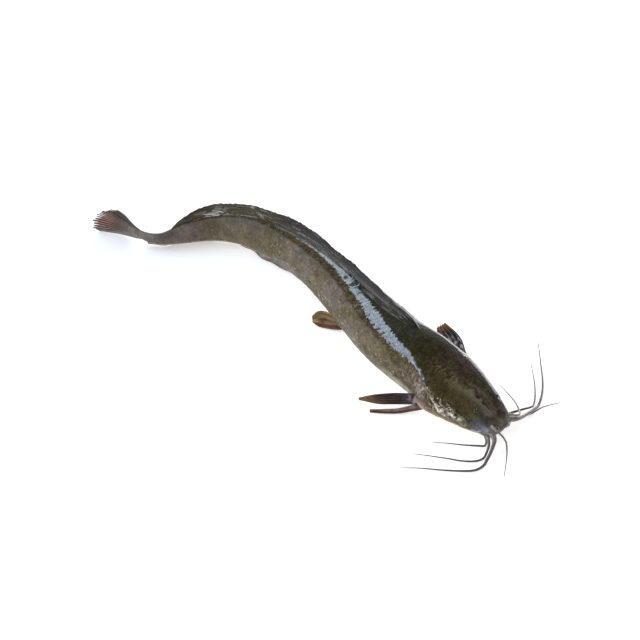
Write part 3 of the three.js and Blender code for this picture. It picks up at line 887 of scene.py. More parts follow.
def gill_cover_layers(at):
    """The reddish brown shoulder behind the gill cover, and the wrinkled cover with painted glints on its wet
    crests.
    """
    s, down, fine = at.s, at.down, at.fine
    speckle = at.clouds(1.8, 70)
    creased = at.shoulder * fade(down, 88, 98) + 0.6 * bump(s - 58, 8) * bump(down - 72, 14)
    lines = fade(np.abs(at.clouds(2.8, 77)), 0.04, 0.16)
    jaw = between(s, 12, 18, 36, 44) * smooth(down + 4 * fine, 84, 98)
    folds = between(s, 14, 18, 36, 40) * smooth(at.jaw, 106, 114) * between(down, 66, 71, 92, 98)
    # Cream lines on the wrinkle crests and a broad cream patch are painted glints of the wet skin.
    swing = at.wave + 1.1 * at.clouds(1.9, 80)
    crest_glint = smooth(np.sin(swing + 0.4), 0.76, 0.95) * smooth(at.clouds(4.0, 79), -0.45, -0.05)
    small_crest_glint = smooth(np.sin(1.9 * swing + 2.0), 0.84, 0.97) * smooth(at.clouds(3.0, 81), -0.2, 0.2)
    crest_glint = np.maximum(crest_glint, 0.75 * small_crest_glint)
    cream_glint_patch = bump(s - 23, 4.5) * bump(down - 87, 4.5) * smooth(speckle, -0.6, 0.1)
    return [
        *mark_layers(at, SHOULDER_MARKS, down, 4.0, 1.3, smooth(speckle, -0.9, 0.3)),
        *[((150, 118, 114), 0.65 * near(at.base, (43, side * 17, 7.5), 3.8)) for side in (-1, 1)],
        ((62, 46, 34), 0.60 * creased * smooth(at.clouds(2.6, 78), 0.1, 0.6)),
        ((186, 172, 160), 0.70 * creased * lines),
        ((124, 106, 84), 0.65 * jaw),
        ((52, 45, 27), 0.6 * folds),
        ((222, 214, 190), np.clip(0.82 * folds * crest_glint + 0.8 * cream_glint_patch, 0, 0.85)),
    ]


def skin_colours(at):
    """The skin's base colour at each of its points."""
    s, down = at.s, at.down
    over_edge = smooth(down - at.edge, -2.0, 5.0) * smooth(s, 34, 60)
    over_edge = np.maximum(over_edge, smooth(s, 205, 236) * smooth(down, 2, 16) * 0.9)
    colour = blend(back_colours(at), flank_colours(at), over_edge)
    colour = painted(colour, [
        *ridge_layers(at),
        *cheek_layers(at),
        *gill_cover_layers(at),
        ((190, 180, 156), 0.92 * at.pale * smooth(s, 2, 10)),
        ((150, 138, 116), 0.4 * at.pale * smooth(at.clouds(6.0, 72, 3), 0.1, 0.8)),
    ])
    colour = colour * (1 + 0.13 * at.patchy + 0.12 * at.fine)[..., None]
    # Small pale specks along the flank are painted glints.
    glimmer = smooth(at.clouds(1.3, 84), 1.0, 1.25) * between(s, 56, 70, 190, 215)
    glimmer = glimmer * smooth(down - at.edge, 4, 10) * (0.35 + 0.65 * smooth(down, 70, 96))
    return np.clip(blend(colour, linear(180, 172, 150), 0.6 * glimmer), 0.002, 1)


def skin_flecks(at):
    """How thickly the skin is flecked with gold."""
    flecks = smooth(at.down - at.edge, 0, 8) * between(at.s, 38, 58, 215, 250) * (1 - at.pale)
    flecks = flecks * (0.15 + 0.55 * smooth(at.clouds(9.0, 73), 0.1, 0.8) + 0.45 * bump(at.s - 62, 26))
    return np.clip(flecks * 0.75 + 0.45 * at.band, 0, 1)


def skin_film(at):
    """How thick the film of water is: thickest in a band along the back, with ragged edges."""
    s, down, fine = at.s, at.down, at.fine
    far = -at.across
    rag = down + 1.4 * fine + 1.7 * np.sin(s * 2.4 + 1.5 * at.patchy)
    band = smooth(rag, FILM_TOP(s) - 2.8, FILM_TOP(s) + 2.8) * fade(rag, FILM_END(s) - 2, FILM_END(s) + 3)
    cover_line = 47.5 + 1.9 * np.maximum(0, 52.5 - s)
    crumple = between(s, 14, 18, 35, 39) * between(down, 66, 71, 94, 102)
    crumple = crumple * smooth(at.jaw + 4 * fine, 104, 112)
    return np.maximum.reduce([
        band * smooth(s, 44, 50),
        0.7 * fade(s, 10, 16) * smooth(down, 40, 60),
        between(far, 31, 38, 120, 140) * between(s, 6, 16, 130, 190),
        0.8 * at.shoulder,
        bump(down - cover_line - 1.5 * fine, 2.6) * between(s, 40, 44, 58, 62),
        1.6 * crumple * smooth(np.sin(at.wave), 0.3, 0.8),
    ])


def make_skin():
    along, angle, arc = skin_places()
    at = SkinPoints(along, angle)
    base = at.base
    wrapped = np.concatenate([base[:, -1:], base, base[:, :1]], axis=1)
    normal = surface_normals(wrapped)[:, 1:-1]
    centre = beside(along, 0, (back(along) + belly(along)) / 2)[:, None]
    normal *= np.sign(((base - centre) * normal).sum(-1).mean())
    relief = (head_relief(at) + body_relief(at)) * fade(at.s, 291, 299)
    points = base + normal * relief[..., None]
    # The lower jaw lies a little behind the upper one.
    jaw_back = 2.3 * fade(at.height, 3.5, 7.5) * fade(at.s, 1, 12)
    points -= forward * jaw_back[..., None]
    points[..., 2] = np.maximum(points[..., 2], 0)

    # Round the snout off with a low dome of shrinking rings.
    dome = []
    middle = points[0].mean(0)
    for k in range(SNOUT_RINGS, 0, -1):
        turn = k / (SNOUT_RINGS + 0.4) * math.pi / 2
        shrunk = middle + (points[0] - middle) * math.cos(turn) + forward * 0.6 * math.sin(turn)
        lip = -0.9 * bump(shrunk[:, 2] - MOUTH_HEIGHT, 0.6) * math.sin(turn)
        dome.append(shrunk + forward * lip[:, None])
    rows = np.concatenate([np.array(dome), points])
    vertices, faces = closed_rings(rows, dome[0].mean(0) + forward * 0.05, rows[-1].mean(0))
    skin = new_piece("skin", vertices, faces, skin_finish())

    def with_dome(values, dome_values):
        """Values for all points: one row for each ring of the dome, then the body's own rows."""
        return np.concatenate([np.repeat(dome_values, SNOUT_RINGS, 0), values])

    colours, film = skin_colours(at), skin_film(at)
    flat = with_dome(colours, colours[:1]).reshape(-1, 3)
    set_colours(skin, "skin_colour", np.vstack([flat, flat[:1], flat[-1:]]))
    flecks = with_dome(skin_flecks(at), 0 * film[:1])
    set_value(skin, "flecks", np.concatenate([flecks.ravel(), [0, 0]]))
    set_value(skin, "film", np.concatenate([with_dome(film, film[:1]).ravel(), [0.3, 0.3]]))
    flow_s = np.concatenate([np.linspace(-1, 0, SNOUT_RINGS, endpoint=False), along])[:, None]
    uv = np.stack([flow_s + 0 * rows[..., 0], with_dome(arc, arc[:1])], -1).reshape(-1, 2) / 100
    set_flow(skin, np.vstack([uv, uv[:1], uv[-1:]]))
    return skin


# Growth by Geometry Nodes
class Growth(Tree):
    """Geometry Nodes with named inputs, which grow a mesh from a source."""

    def __init__(self, name, inputs):
        super().__init__(bpy.data.node_groups.new(name, "GeometryNodeTree"))
        face = self.tree.interface
        face.new_socket("Geometry", in_out="INPUT", socket_type="NodeSocketGeometry")
        self.numbers = {}
        for label, kind, value in (*inputs, ("Skin", "Material", None)):
            socket = face.new_socket(label, in_out="INPUT", socket_type="NodeSocket" + kind)
            if value is not None:
                socket.default_value = value
            self.numbers[label] = socket.identifier
        face.new_socket("Geometry", in_out="OUTPUT", socket_type="NodeSocketGeometry")
        self.given = self.node("NodeGroupInput").outputs

    def named(self, name, kind="FLOAT"):
        node = self.node("GeometryNodeInputNamedAttribute", {"data_type": kind}, Name=name)
        return node.outputs["Attribute"]

    def store(self, geometry, name, value):
        node = self.node("GeometryNodeStoreNamedAttribute", Geometry=geometry, Name=name, Value=value)
        return node.outputs["Geometry"]

    def tubes(self, curves, radius):
        """Ends the tree with closed tubes along the curves, in the given skin."""
        section = self.node("GeometryNodeCurvePrimitiveCircle", Radius=1.0, Resolution=self.given["Sides"])
        tube = self.node("GeometryNodeCurveToMesh", Curve=curves, Profile_Curve=section.outputs[0],
                         Scale=radius, Fill_Caps=True)
        solid = self.node("GeometryNodeRealizeInstances", Geometry=tube.outputs[0])
        skin = self.node("GeometryNodeSetMaterial", Geometry=solid.outputs[0], Material=self.given["Skin"])
        self.put(skin.outputs[0], self.node("NodeGroupOutput").inputs[0])


def ray_growth():
    """Tapered, forked rays over a fin's sheet, from its root to its edge."""
    grow = Growth("Fin rays", (
        ("Rays", "Int", 12), ("Ray points", "Int", 14), ("Sides", "Int", 6), ("Root radius", "Float", 0.0004),
        ("Tip radius", "Float", 0.0001), ("Sweep", "Float", 0.0), ("Fork from", "Float", 0.55),
        ("Fork spread", "Float", 0.25), ("Unevenness", "Float", 0.2), ("Seed", "Int", 1),
    ))
    given, maths, named = grow.given, grow.maths, grow.named
    # Two curves to a ray, which know their place along the fin and their side of the fork.
    index = grow.node("GeometryNodeInputIndex").outputs[0]
    number = maths("FLOOR", maths("DIVIDE", index, 2))
    chance = grow.node("FunctionNodeRandomValue", {"data_type": "FLOAT"}, ID=number, Seed=given["Seed"])
    chance.inputs[2].default_value = -0.5
    chance.inputs[3].default_value = 0.5
    jitter = maths("MULTIPLY", chance.outputs[1], given["Unevenness"])
    place = maths("DIVIDE", maths("ADD", maths("ADD", number, 0.5), jitter), given["Rays"])
    fork = maths("SUBTRACT", maths("MULTIPLY", maths("MODULO", index, 2), 2), 1)
    points = grow.node("GeometryNodePoints", Count=maths("MULTIPLY", given["Rays"], 2)).outputs[0]
    points = grow.store(grow.store(points, "ray_place", place), "ray_fork", fork)
    line = grow.node("GeometryNodeCurvePrimitiveLine").outputs[0]
    line = grow.node("GeometryNodeResampleCurve", Curve=line, Count=given["Ray points"]).outputs[0]
    copies = grow.node("GeometryNodeInstanceOnPoints", Points=points, Instance=line).outputs[0]
    curves = grow.node("GeometryNodeRealizeInstances", Geometry=copies).outputs[0]

    # Each point of a curve moves to its spot on the sheet.
    reach = grow.node("GeometryNodeSplineParameter").outputs["Factor"]
    sweep = maths("MINIMUM", given["Sweep"], maths("SUBTRACT", 0.996, named("ray_place")))
    across = maths("ADD", named("ray_place"), maths("MULTIPLY", sweep, reach))
    apart = maths("MAXIMUM", 0.0, maths("SUBTRACT", reach, given["Fork from"]))
    apart = maths("DIVIDE", maths("MULTIPLY", apart, given["Fork spread"]), given["Rays"])
    across = maths("ADD", across, maths("MULTIPLY", apart, named("ray_fork")))
    across = maths("MINIMUM", 0.998, maths("MAXIMUM", 0.002, across))
    along = maths("MINIMUM", 0.996, maths("MAXIMUM", 0.004, reach))
    sample = grow.node(
        "GeometryNodeSampleUVSurface", {"data_type": "FLOAT_VECTOR"}, Mesh=given["Geometry"],
        Value=grow.node("GeometryNodeInputPosition").outputs[0], UV_Map=named("flow", "FLOAT_VECTOR"),
        Sample_UV=grow.node("ShaderNodeCombineXYZ", X=across, Y=along).outputs[0])
    moved = grow.node("GeometryNodeSetPosition", Geometry=curves, Position=sample.outputs["Value"]).outputs[0]
    thinner = maths("SUBTRACT", given["Tip radius"], given["Root radius"])
    radius = maths("ADD", given["Root radius"], maths("MULTIPLY", maths("POWER", reach, 0.8), thinner))
    grow.tubes(grow.store(moved, "share", reach), radius)
    return grow


def barbel_growth():
    """Flesh on the barbels' routes: a tapered, slightly uneven tube."""
    grow = Growth("Barbel flesh", (
        ("Sides", "Int", 14), ("Unevenness", "Float", 0.12), ("Lump size", "Float", 0.004),
        ("Seed", "Float", 3.0),
    ))
    given, maths = grow.given, grow.maths
    curves = grow.node("GeometryNodeMeshToCurve", Mesh=given["Geometry"]).outputs[0]
    fineness = maths("DIVIDE", 1.0, given["Lump size"])
    lumps = grow.node("ShaderNodeTexNoise", {"noise_dimensions": "4D"}, Scale=fineness, W=given["Seed"])
    centred = maths("SUBTRACT", lumps.outputs["Fac"], 0.5)
    swell = maths("MULTIPLY_ADD", centred, given["Unevenness"], 1.0)
    grow.tubes(curves, maths("MULTIPLY", grow.named("thick"), swell))
    return grow


def grown(name, source, growth, **values):
    """Grows a plain mesh from a source; the source goes."""
    modifier = source.modifiers.new("grow", "NODES")
    modifier.node_group = growth.tree
    for label, value in values.items():
        modifier[growth.numbers[label.replace("_", " ")]] = value
    bpy.context.view_layer.update()
    ready = source.evaluated_get(bpy.context.evaluated_depsgraph_get())
    mesh = bpy.data.meshes.new_from_object(ready)
    source.modifiers.remove(modifier)
    bpy.data.objects.remove(source)
    mesh.name = name
    finish_mesh(mesh, merge=1e-7)
    return new_object(name, mesh)


RAY_GROWTH = ray_growth()
BARBEL_GROWTH = barbel_growth()


# Fins
# Where the long fins stand along the body, and the rows and columns of their sheets.
BACK_FIN_SPAN, BACK_FIN_GRID = (69.0, 271.0), (330, 15)
ANAL_FIN_SPAN, ANAL_FIN_GRID = (149.0, 286.5), (220, 9)
TAIL_RAYS = 19
# How high a fin's lowest points stay above the floor.
FLOOR_GAP = 0.02


def fin_web(name, sheet, thickness, colours, material):
    """A thin closed fin over a grid of points, with its root along the first column."""
    rows, columns = sheet.shape[:2]
    normal = surface_normals(sheet)
    half = thickness[..., None] / 2 * normal
    top, bottom = sheet + half, sheet - half
    for face in (top, bottom):
        face[..., 2] = np.maximum(face[..., 2], FLOOR_GAP)
    offset = rows * columns
    faces = grid_faces(rows, columns)
    faces += [tuple(i + offset for i in reversed(f)) for f in faces]
    border = [(0, c) for c in range(columns)] + [(r, columns - 1) for r in range(1, rows)]
    border += [(rows - 1, c) for c in range(columns - 2, -1, -1)] + [(r, 0) for r in range(rows - 2, 0, -1)]
    for (r, c), (r2, c2) in zip(border, border[1:] + border[:1]):
        a, b = r * columns + c, r2 * columns + c2
        faces.append((b, a, a + offset, b + offset))
    piece = new_piece(name, np.vstack([top.reshape(-1, 3), bottom.reshape(-1, 3)]), faces, material)
    set_colours(piece, "fin_colour", np.vstack([colours.reshape(-1, 3)] * 2))
    set_flow(piece, np.vstack([np.stack(shares(sheet), -1).reshape(-1, 2)] * 2))
    return piece


def fin_rays(name, sheet, material, **values):
    """Rays over a fin's sheet, grown by Geometry Nodes."""
    mesh = new_mesh(name, sheet.reshape(-1, 3), [], grid_faces(*sheet.shape[:2]))
    source = new_object(name + "_sheet", mesh)
    set_flow(source, np.stack(shares(sheet), -1).reshape(-1, 2))
    return grown(name, source, RAY_GROWTH, Skin=material, **values)


def make_fin(name, rays_name, sheet, thickness, tone, skin, ray_skin, **rays):
    """A fin's web, with its thickness at the root and at the edge, and the rays over it."""
    root, edge = thickness
    web = fin_web(name, sheet, root + (edge - root) * shares(sheet)[1] ** 0.7, tone, skin)
    return [web, fin_rays(rays_name, sheet, ray_skin, **rays)]


def fin_grid(span, rows, columns):
    """Distances along the body, and shares of the way from root to edge, for a long fin's sheet."""
    return np.meshgrid(np.linspace(*span, rows), np.linspace(0, 1, columns), indexing="ij")


def back_fin_sheet():
    """The back fin: rows along the body, columns from the root to the edge."""
    along, share = fin_grid(BACK_FIN_SPAN, *BACK_FIN_GRID)
    sunk = 1.6
    reach = np.maximum(through(DORSAL_HEIGHT)(along), 0.05)
    ragged = 0.12 * np.sin(along * 2 * math.pi / 3.1) + 0.12 * np.sin(along * 1.37 + 1)
    up = -sunk + (reach + sunk + ragged * smooth(reach, 2, 6) * share**4) * share
    limp = DORSAL_LEAN + 0.10 * np.sin(along / 9.0) * share
    left = dorsal_side(along) + up * np.sin(limp)
    left = left + share**2 * (0.30 * np.sin(along / 4.3 + 1.2) + 0.16 * np.sin(along / 1.9))
    return beside(along, left, back(along) + up * np.cos(limp))


def anal_fin_sheet():
    """The anal fin, folded to the fish's right under the tail."""
    along, share = fin_grid(ANAL_FIN_SPAN, *ANAL_FIN_GRID)
    left = 0.5 - (through(ANAL_REACH)(along) + 0.5) * share + share**2 * 0.5 * np.sin(along / 2.6)
    height = (belly(along) + 2.2) * (1 - share) ** 1.4 + 0.45 + 0.25 * share * (1 + np.sin(along / 3.7))
    return beside(along, left, height)


def tail_fin_sheet():
    """The tail fin as a fan: rows from its lowest to its highest ray, columns from root to edge."""
    rows, columns = 306, 44
    start, low_end, high_end, rim_end = -4.0, 27.0, 17.0, 34.0
    low_root, high_root = 6.0, 9.0
    lower, upper = through(TAIL_FIN_LOWER), through(TAIL_FIN_UPPER)

    def side(edge, root, end, share):
        beyond = start + (end - start) * share
        height = np.where(beyond < 0, root + (edge(0.0) - root) * (1 - beyond / start), edge(beyond))
        return np.stack([beyond, height], -1)

    rim = np.vstack([
        [side(lower, low_root, x, np.array(1.0)) for x in np.linspace(low_end, rim_end, 20)],
        [side(upper, high_root, x, np.array(1.0)) for x in np.linspace(rim_end, high_end, 30)],
    ])
    w = np.linspace(0, 1, rows)[:, None]
    r = np.linspace(0, 1, columns)[None, :]
    low_side, high_side = side(lower, low_root, low_end, r[0]), side(upper, high_root, high_end, r[0])
    root = np.stack([start + 0 * w[:, 0], low_root + (high_root - low_root) * w[:, 0]], -1)[:, None]
    rim = shared_out(rim, rows)[:, None]
    # A patch between four edges: root and rim, lowest and highest ray.
    w3, r3 = w[..., None], r[..., None]
    flat = (1 - w3) * low_side + w3 * high_side + (1 - r3) * root + r3 * rim
    flat = flat - (1 - w3) * ((1 - r3) * root[0] + r3 * rim[0]) - w3 * ((1 - r3) * root[-1] + r3 * rim[-1])
    # The edge is cut into teeth, one to a ray tip.
    depth = 4.0 + 1.2 * np.sin(w * 23 + 1)
    teeth = (0.5 + 0.5 * np.cos(w * 2 * math.pi * TAIL_RAYS)) ** 2.4
    teeth = teeth * depth * smooth(w, 0.05, 0.2) + 0.6 * np.sin(w * 41 + 1)
    inwards = flat[:, :1] - flat
    inwards = inwards / np.maximum(np.linalg.norm(inwards, axis=-1, keepdims=True), 1e-6)
    flat = flat + inwards * (teeth * r**9)[..., None]
    ripple = 0.5 * r**1.5 * np.sin(w * 2 * math.pi * 2.3 + 0.6) + 0.12 * r * np.sin(w * 2 * math.pi * 17)
    return beside(BODY_LENGTH + flat[..., 0], ripple, flat[..., 1])


def paired_sheet(edges, ripple=0.35, folds=6.0, serrate=0.5):
    """A paired fin: rows from the leading to the trailing ray, columns from root to tip."""
    rows, columns = 60, 40
    leading, trailing = (rounded(edge, columns) for edge in edges)
    w = np.linspace(0, 1, rows)[:, None, None]
    r = np.linspace(0, 1, columns)[None, :, None]
    flat = leading[None] * (1 - w) + trailing[None] * w
    teeth = serrate * (0.5 + 0.5 * np.cos(w * 2 * math.pi * folds * 2)) * r**6
    sheet = beside(flat[..., 0] - teeth[..., 0], flat[..., 1], flat[..., 2])
    wave = np.sin(w * 2 * math.pi * folds + 0.7) * (0.25 + 0.75 * np.sin(math.pi * np.minimum(r, 0.75)))
    return sheet + surface_normals(sheet) * ripple * wave * smooth(np.minimum(w, 1 - w), 0.0, 0.12)


def over(sheet, root, middle, tip, seed, edge=None, edge_width=0.12, tip_from=0.55):
    """Colours over a fin's sheet, from its root to its tip, with blotches."""
    leading, share = shares(sheet)
    colour = blend(linear(*root), linear(*middle), smooth(share, 0, 0.45))
    colour = blend(colour, linear(*tip), smooth(share, tip_from, 1))
    colour = colour * (1 + 0.30 * clouds(sheet, 3.5, seed, 3))[..., None]
    if edge:
        colour = blend(colour, linear(*edge), 0.8 * fade(leading, 0, edge_width))
    return np.clip(colour, 0.002, 1)


def make_back_fin():
    sheet = back_fin_sheet()
    at, share = fin_grid(BACK_FIN_SPAN, *BACK_FIN_GRID)
    stretched = np.stack([at * 0.55, share * 9.0, 0 * at], -1)
    # A pale speckled patch towards the rear and two small streaks are painted highlights of the wet skin.
    highlight_patch = smooth(clouds(stretched, 1.5, 93, 3), -0.35, 0.25) * bump(at - 243, 8) * bump(share - 0.42, 0.30)
    glint = bump(at - 212, 1.9) * bump(share - 0.48 - 0.03 * (at - 212), 0.07)
    glint = glint + bump(at - 219, 1.2) * bump(share - 0.9, 0.1)
    tone = painted(over(sheet, (42, 41, 38), (49, 48, 45), (40, 33, 25), 81), [
        ((58, 53, 31), 0.9 * smooth(at + 12 * share, 168, 204)),
        ((44, 42, 30), 0.8 * fade(at, 70, 82)),
        ((84, 82, 80), 0.6 * bump(at - 108, 12) * fade(share, 0.5, 0.8)),
        ((28, 27, 23), 0.85 * smooth(share, 0.15, 0.35) * fade(at, 92, 104)),
        ((34, 26, 19), 0.92 * smooth(share, 0.70, 0.92)),
        ((42, 36, 28), 0.75 * smooth(share, 0.52, 0.72) * smooth(at, 118, 140)),
        ((82, 52, 32), 0.7 * smooth(share, 0.8, 0.97) * smooth(at, 186, 204)),
        # The pale upper edge at the fin's front is a painted highlight of the wet rim.
        ((182, 182, 178), 0.85 * smooth(share, 0.74, 0.9) * fade(at, 88, 99)),
        ((205, 201, 198), np.clip(1.5 * highlight_patch + 0.9 * glint, 0, 0.95)),
    ])
    return make_fin(
        "back_fin", "back_fin_rays", sheet, (0.55, 0.22), tone,
        fin_finish("back fin skin", 0.26, sweep=0.17, coat=0.06, shine=0.1, contrast=(110, 106, 100),
                   folds=0.85),
        ray_finish("back fin ray", (138, 134, 128), (34, 28, 22), rear=(64, 58, 35), tip_from=0.66, coat=0.2),
        Rays=66, Ray_points=24, Sides=6, Root_radius=0.00034, Tip_radius=0.00016, Sweep=0.17, Fork_from=0.3,
        Fork_spread=0.55, Unevenness=0.5, Seed=4)


def make_anal_fin():
    sheet = anal_fin_sheet()
    at, _ = fin_grid(ANAL_FIN_SPAN, *ANAL_FIN_GRID)
    # Root and middle are painted pale, and the front paler still: painted light that offsets the shade under
    # the tail.
    tone = painted(over(sheet, (168, 162, 150), (160, 154, 146), (70, 62, 56), 82, tip_from=0.8), [
        ((178, 178, 180), 0.8 * fade(at, 186, 196)),
        ((44, 38, 34), 0.8 * smooth(at, 274, 280)),
    ])
    return make_fin(
        "anal_fin", "anal_fin_rays", sheet, (0.6, 0.25), tone, fin_finish("anal fin skin"),
        ray_finish("anal fin ray", (150, 146, 140), (120, 114, 108)),
        Rays=48, Ray_points=8, Sides=5, Root_radius=0.00034, Tip_radius=0.00012, Sweep=0.05, Fork_from=0.6,
        Fork_spread=0.4, Unevenness=0.3, Seed=5)


def make_tail_fin():
    sheet = tail_fin_sheet()
    upward, share = shares(sheet)
    tone = over(sheet, (104, 98, 92), (104, 87, 76), (158, 124, 110), 83, tip_from=0.66,
                edge=(206, 196, 192), edge_width=0.42)
    tone = painted(tone, [
        ((46, 42, 34), 0.7 * smooth(upward, 0.55, 0.9) * bump(share - 0.30, 0.2)),
        ((86, 70, 42), 0.65 * bump(upward - 0.62, 0.2) * bump(share - 0.55, 0.3)),
        ((170, 104, 86), 0.6 * bump(upward - 0.42, 0.14) * smooth(share, 0.5, 0.8)),
    ])
    return make_fin(
        "tail_fin", "tail_fin_rays", sheet, (0.6, 0.2), tone,
        fin_finish("tail fin skin", 0.3, coat=0.3, shine=0.35),
        ray_finish("tail fin ray", (44, 37, 31), (42, 22, 17)),
        Rays=TAIL_RAYS, Ray_points=30, Sides=6, Root_radius=0.00040, Tip_radius=0.00026, Sweep=0.0,
        Fork_from=0.30, Fork_spread=0.19, Unevenness=0.08, Seed=6)


def make_right_pectoral(skin, ray_skin):
    """The blade of the right pectoral fin, and its spine, which stands apart."""
    sheet = paired_sheet(PECTORAL_RIGHT, folds=4.5)
    # Pale violet specks near the root are painted glints.
    glints = smooth(clouds(sheet, 1.5, 95, 2), 0.25, 0.5) * bump(shares(sheet)[1] - 0.16, 0.14)
    tone = over(sheet, (104, 82, 84), (56, 43, 42), (118, 94, 66), 84)
    tone = painted(tone, [((214, 204, 216), 0.9 * glints)])
    pieces = make_fin(
        "right_pectoral_fin", "right_pectoral_rays", sheet, (2.0, 0.4), tone, skin, ray_skin,
        Rays=8, Ray_points=26, Sides=7, Root_radius=0.0007, Tip_radius=0.0002, Fork_from=0.5, Fork_spread=0.5,
        Seed=7)
    sheet = paired_sheet(PECTORAL_SPINE_RIGHT, folds=1.5, ripple=0.2, serrate=0.0)
    tone = over(sheet, (184, 154, 148), (132, 106, 100), (116, 88, 66), 85, edge=(58, 36, 30), edge_width=0.6)
    return pieces + make_fin(
        "right_pectoral_spine", "right_spine_rays", sheet, (2.4, 0.9), tone, skin, ray_skin,
        Rays=2, Ray_points=26, Sides=8, Root_radius=0.0011, Tip_radius=0.0004, Fork_from=0.9, Fork_spread=0.1,
        Seed=8)


def make_left_pectoral(ray_skin):
    sheet = paired_sheet(PECTORAL_LEFT, folds=4.5, ripple=0.45)
    # Pale specks on the blade are painted glints.
    glints = smooth(clouds(sheet, 1.3, 96, 2), 0.42, 0.6) * bump(shares(sheet)[1] - 0.58, 0.14)
    tone = over(sheet, (44, 27, 24), (40, 25, 21), (150, 98, 44), 86, edge=(34, 20, 17), tip_from=0.82)
    return make_fin(
        "left_pectoral_fin", "left_pectoral_rays", sheet, (2.0, 0.4),
        painted(tone, [((196, 192, 194), 0.75 * glints)]),
        fin_finish("left pectoral fin skin", 0.5, coat=0.4, shine=0.1, patchy=True), ray_skin,
        Rays=9, Ray_points=26, Sides=7, Root_radius=0.0008, Tip_radius=0.0002, Fork_from=0.5, Fork_spread=0.5,
        Seed=9)


def make_pelvic_fins(skin):
    ray_skin = ray_finish("pelvic fin ray", (94, 62, 40), (124, 92, 60))
    pieces = []
    for side, edges, seed in (("right", PELVIC_RIGHT, 87), ("left", PELVIC_LEFT, 88)):
        sheet = paired_sheet(edges, folds=3.0, ripple=0.3)
        tone = over(sheet, (122, 92, 60), (126, 98, 60), (150, 118, 76), seed, edge=(96, 48, 36),
                    edge_width=0.3)
        pieces += make_fin(
            side + "_pelvic_fin", side + "_pelvic_rays", sheet, (1.6, 0.35), tone, skin, ray_skin,
            Rays=6, Ray_points=22, Sides=6, Root_radius=0.0006, Tip_radius=0.00018, Fork_from=0.45,
            Fork_spread=0.5, Seed=seed)
    return pieces


def make_fins():
    dark_skin = fin_finish("pectoral fin skin", 0.5, coat=0.9, shine=0.15, patchy=True)
    dark_ray = ray_finish("pectoral fin ray", (44, 27, 27), (80, 52, 30))
    return [
        *make_back_fin(), *make_anal_fin(), *make_tail_fin(), *make_right_pectoral(dark_skin, dark_ray),
        *make_left_pectoral(dark_ray), *make_pelvic_fins(dark_skin),
    ]


# Barbels, eyes and nostrils
def make_barbels():
    count = 70
    points, edges, thick, share = [], [], [], []
    for root, tip, route in BARBELS.values():
        curve = rounded([(-ahead, left, height) for ahead, left, height in route], count)
        t = np.linspace(0, 1, count)
        rounded_end = np.sqrt(np.clip((1 - t) * 40 + 0.05, 0, 1))
        radius = (root * 0.94 + (tip - root) * t**0.62) / 2 * rounded_end
        radius *= 1 + 0.45 * smooth(root, 1.9, 2.5) * fade(walked(curve), 2.5, 10)
        start = len(points)
        points += np.stack([
            SNOUT[0] - curve[:, 0] * forward[0] - curve[:, 1] * forward[1],
            SNOUT[1] - curve[:, 0] * forward[1] + curve[:, 1] * forward[0],
            np.maximum(curve[:, 2], radius * 1.06 + 0.03),
        ], -1).tolist()
        edges += [(start + i, start + i + 1) for i in range(count - 1)]
        thick += (radius * MM).tolist()
        share += t.tolist()
    source = new_object("barbel_routes", new_mesh("barbel_routes", points, edges, []))
    set_value(source, "thick", thick)
    set_value(source, "share", share)
    return grown("barbels", source, BARBEL_GROWTH, Skin=barbel_finish(), Sides=14)


def make_eyes():
    pieces = []
    finish = eye_finish()
    rings, columns = 33, 48
    turn = np.linspace(0, math.pi, rings)[:, None]
    spin = np.linspace(0, 2 * math.pi, columns, endpoint=False)[None, :]
    swell = EYE["radius"] * (1 + 0.06 * bump(turn, 0.55))
    from_axis = np.degrees(turn) + 0 * spin
    colour = painted(linear(8, 8, 9), [
        ((58, 48, 28), smooth(from_axis, 30, 34)),
        ((30, 26, 20), smooth(from_axis, 38, 46)),
        ((56, 50, 30), smooth(from_axis, 56, 70)),
    ])
    flat = np.vstack([colour[1:-1].reshape(-1, 3), colour[0, 0], colour[-1, 0]])
    for name, side in (("right_eye", -1), ("left_eye", 1)):
        centre = beside(EYE["along"], side * EYE["left"], EYE["height"])
        gaze = beside(EYE["along"] - 0.6, side * (EYE["left"] + 1.6), EYE["height"] + 1.5)
        out, across, upward = directions(centre, gaze)
        ball = centre + swell[..., None] * (
            np.cos(turn)[..., None] * out
            + (np.sin(turn) * np.cos(spin))[..., None] * across
            + (np.sin(turn) * np.sin(spin))[..., None] * upward
        )
        piece = new_piece(name, *closed_rings(ball[1:-1], ball[0, 0], ball[-1, 0]), finish)
        set_colours(piece, "eye_colour", flat)
        pieces.append(piece)
    return pieces


def make_nostrils():
    """A short open tube of pale skin beside each half of the snout's tip."""
    vertices, faces = [], []
    # Radius and height along the tube, up its outside, over its rim and down its inside.
    profile = [(2.1, -1.6), (1.75, -0.2), (1.5, 0.5), (1.45, 0.95), (1.3, 1.15), (1.0, 1.1), (0.85, 0.8),
               (0.75, 0.1), (0.6, -0.9)]
    spin = np.linspace(0, 2 * math.pi, 28, endpoint=False)
    for side in (-1, 1):
        centre = beside(1.0, side * 4.9, 10.0)
        out, across, upward = directions(centre, beside(-1.0, side * 6.3, 12.2))
        wobble = 1 + 0.06 * np.sin(3 * spin + side)
        around = np.cos(spin)[:, None] * across + np.sin(spin)[:, None] * upward
        start = len(vertices)
        for radius, up in profile:
            vertices += (centre + out * up + (radius * wobble)[:, None] * around).tolist()
        faces += grid_faces(len(profile), len(spin), start=start, wrap=True)
        first_ring = range(start, start + len(spin))
        last_ring = range(len(vertices) - len(spin), len(vertices))
        faces += [tuple(first_ring), tuple(reversed(last_ring))]
    return new_piece("nostrils", vertices, faces, nostril_finish())


for piece in [make_skin(), *make_fins(), make_barbels(), *make_eyes(), make_nostrils()]:
    dress(piece)


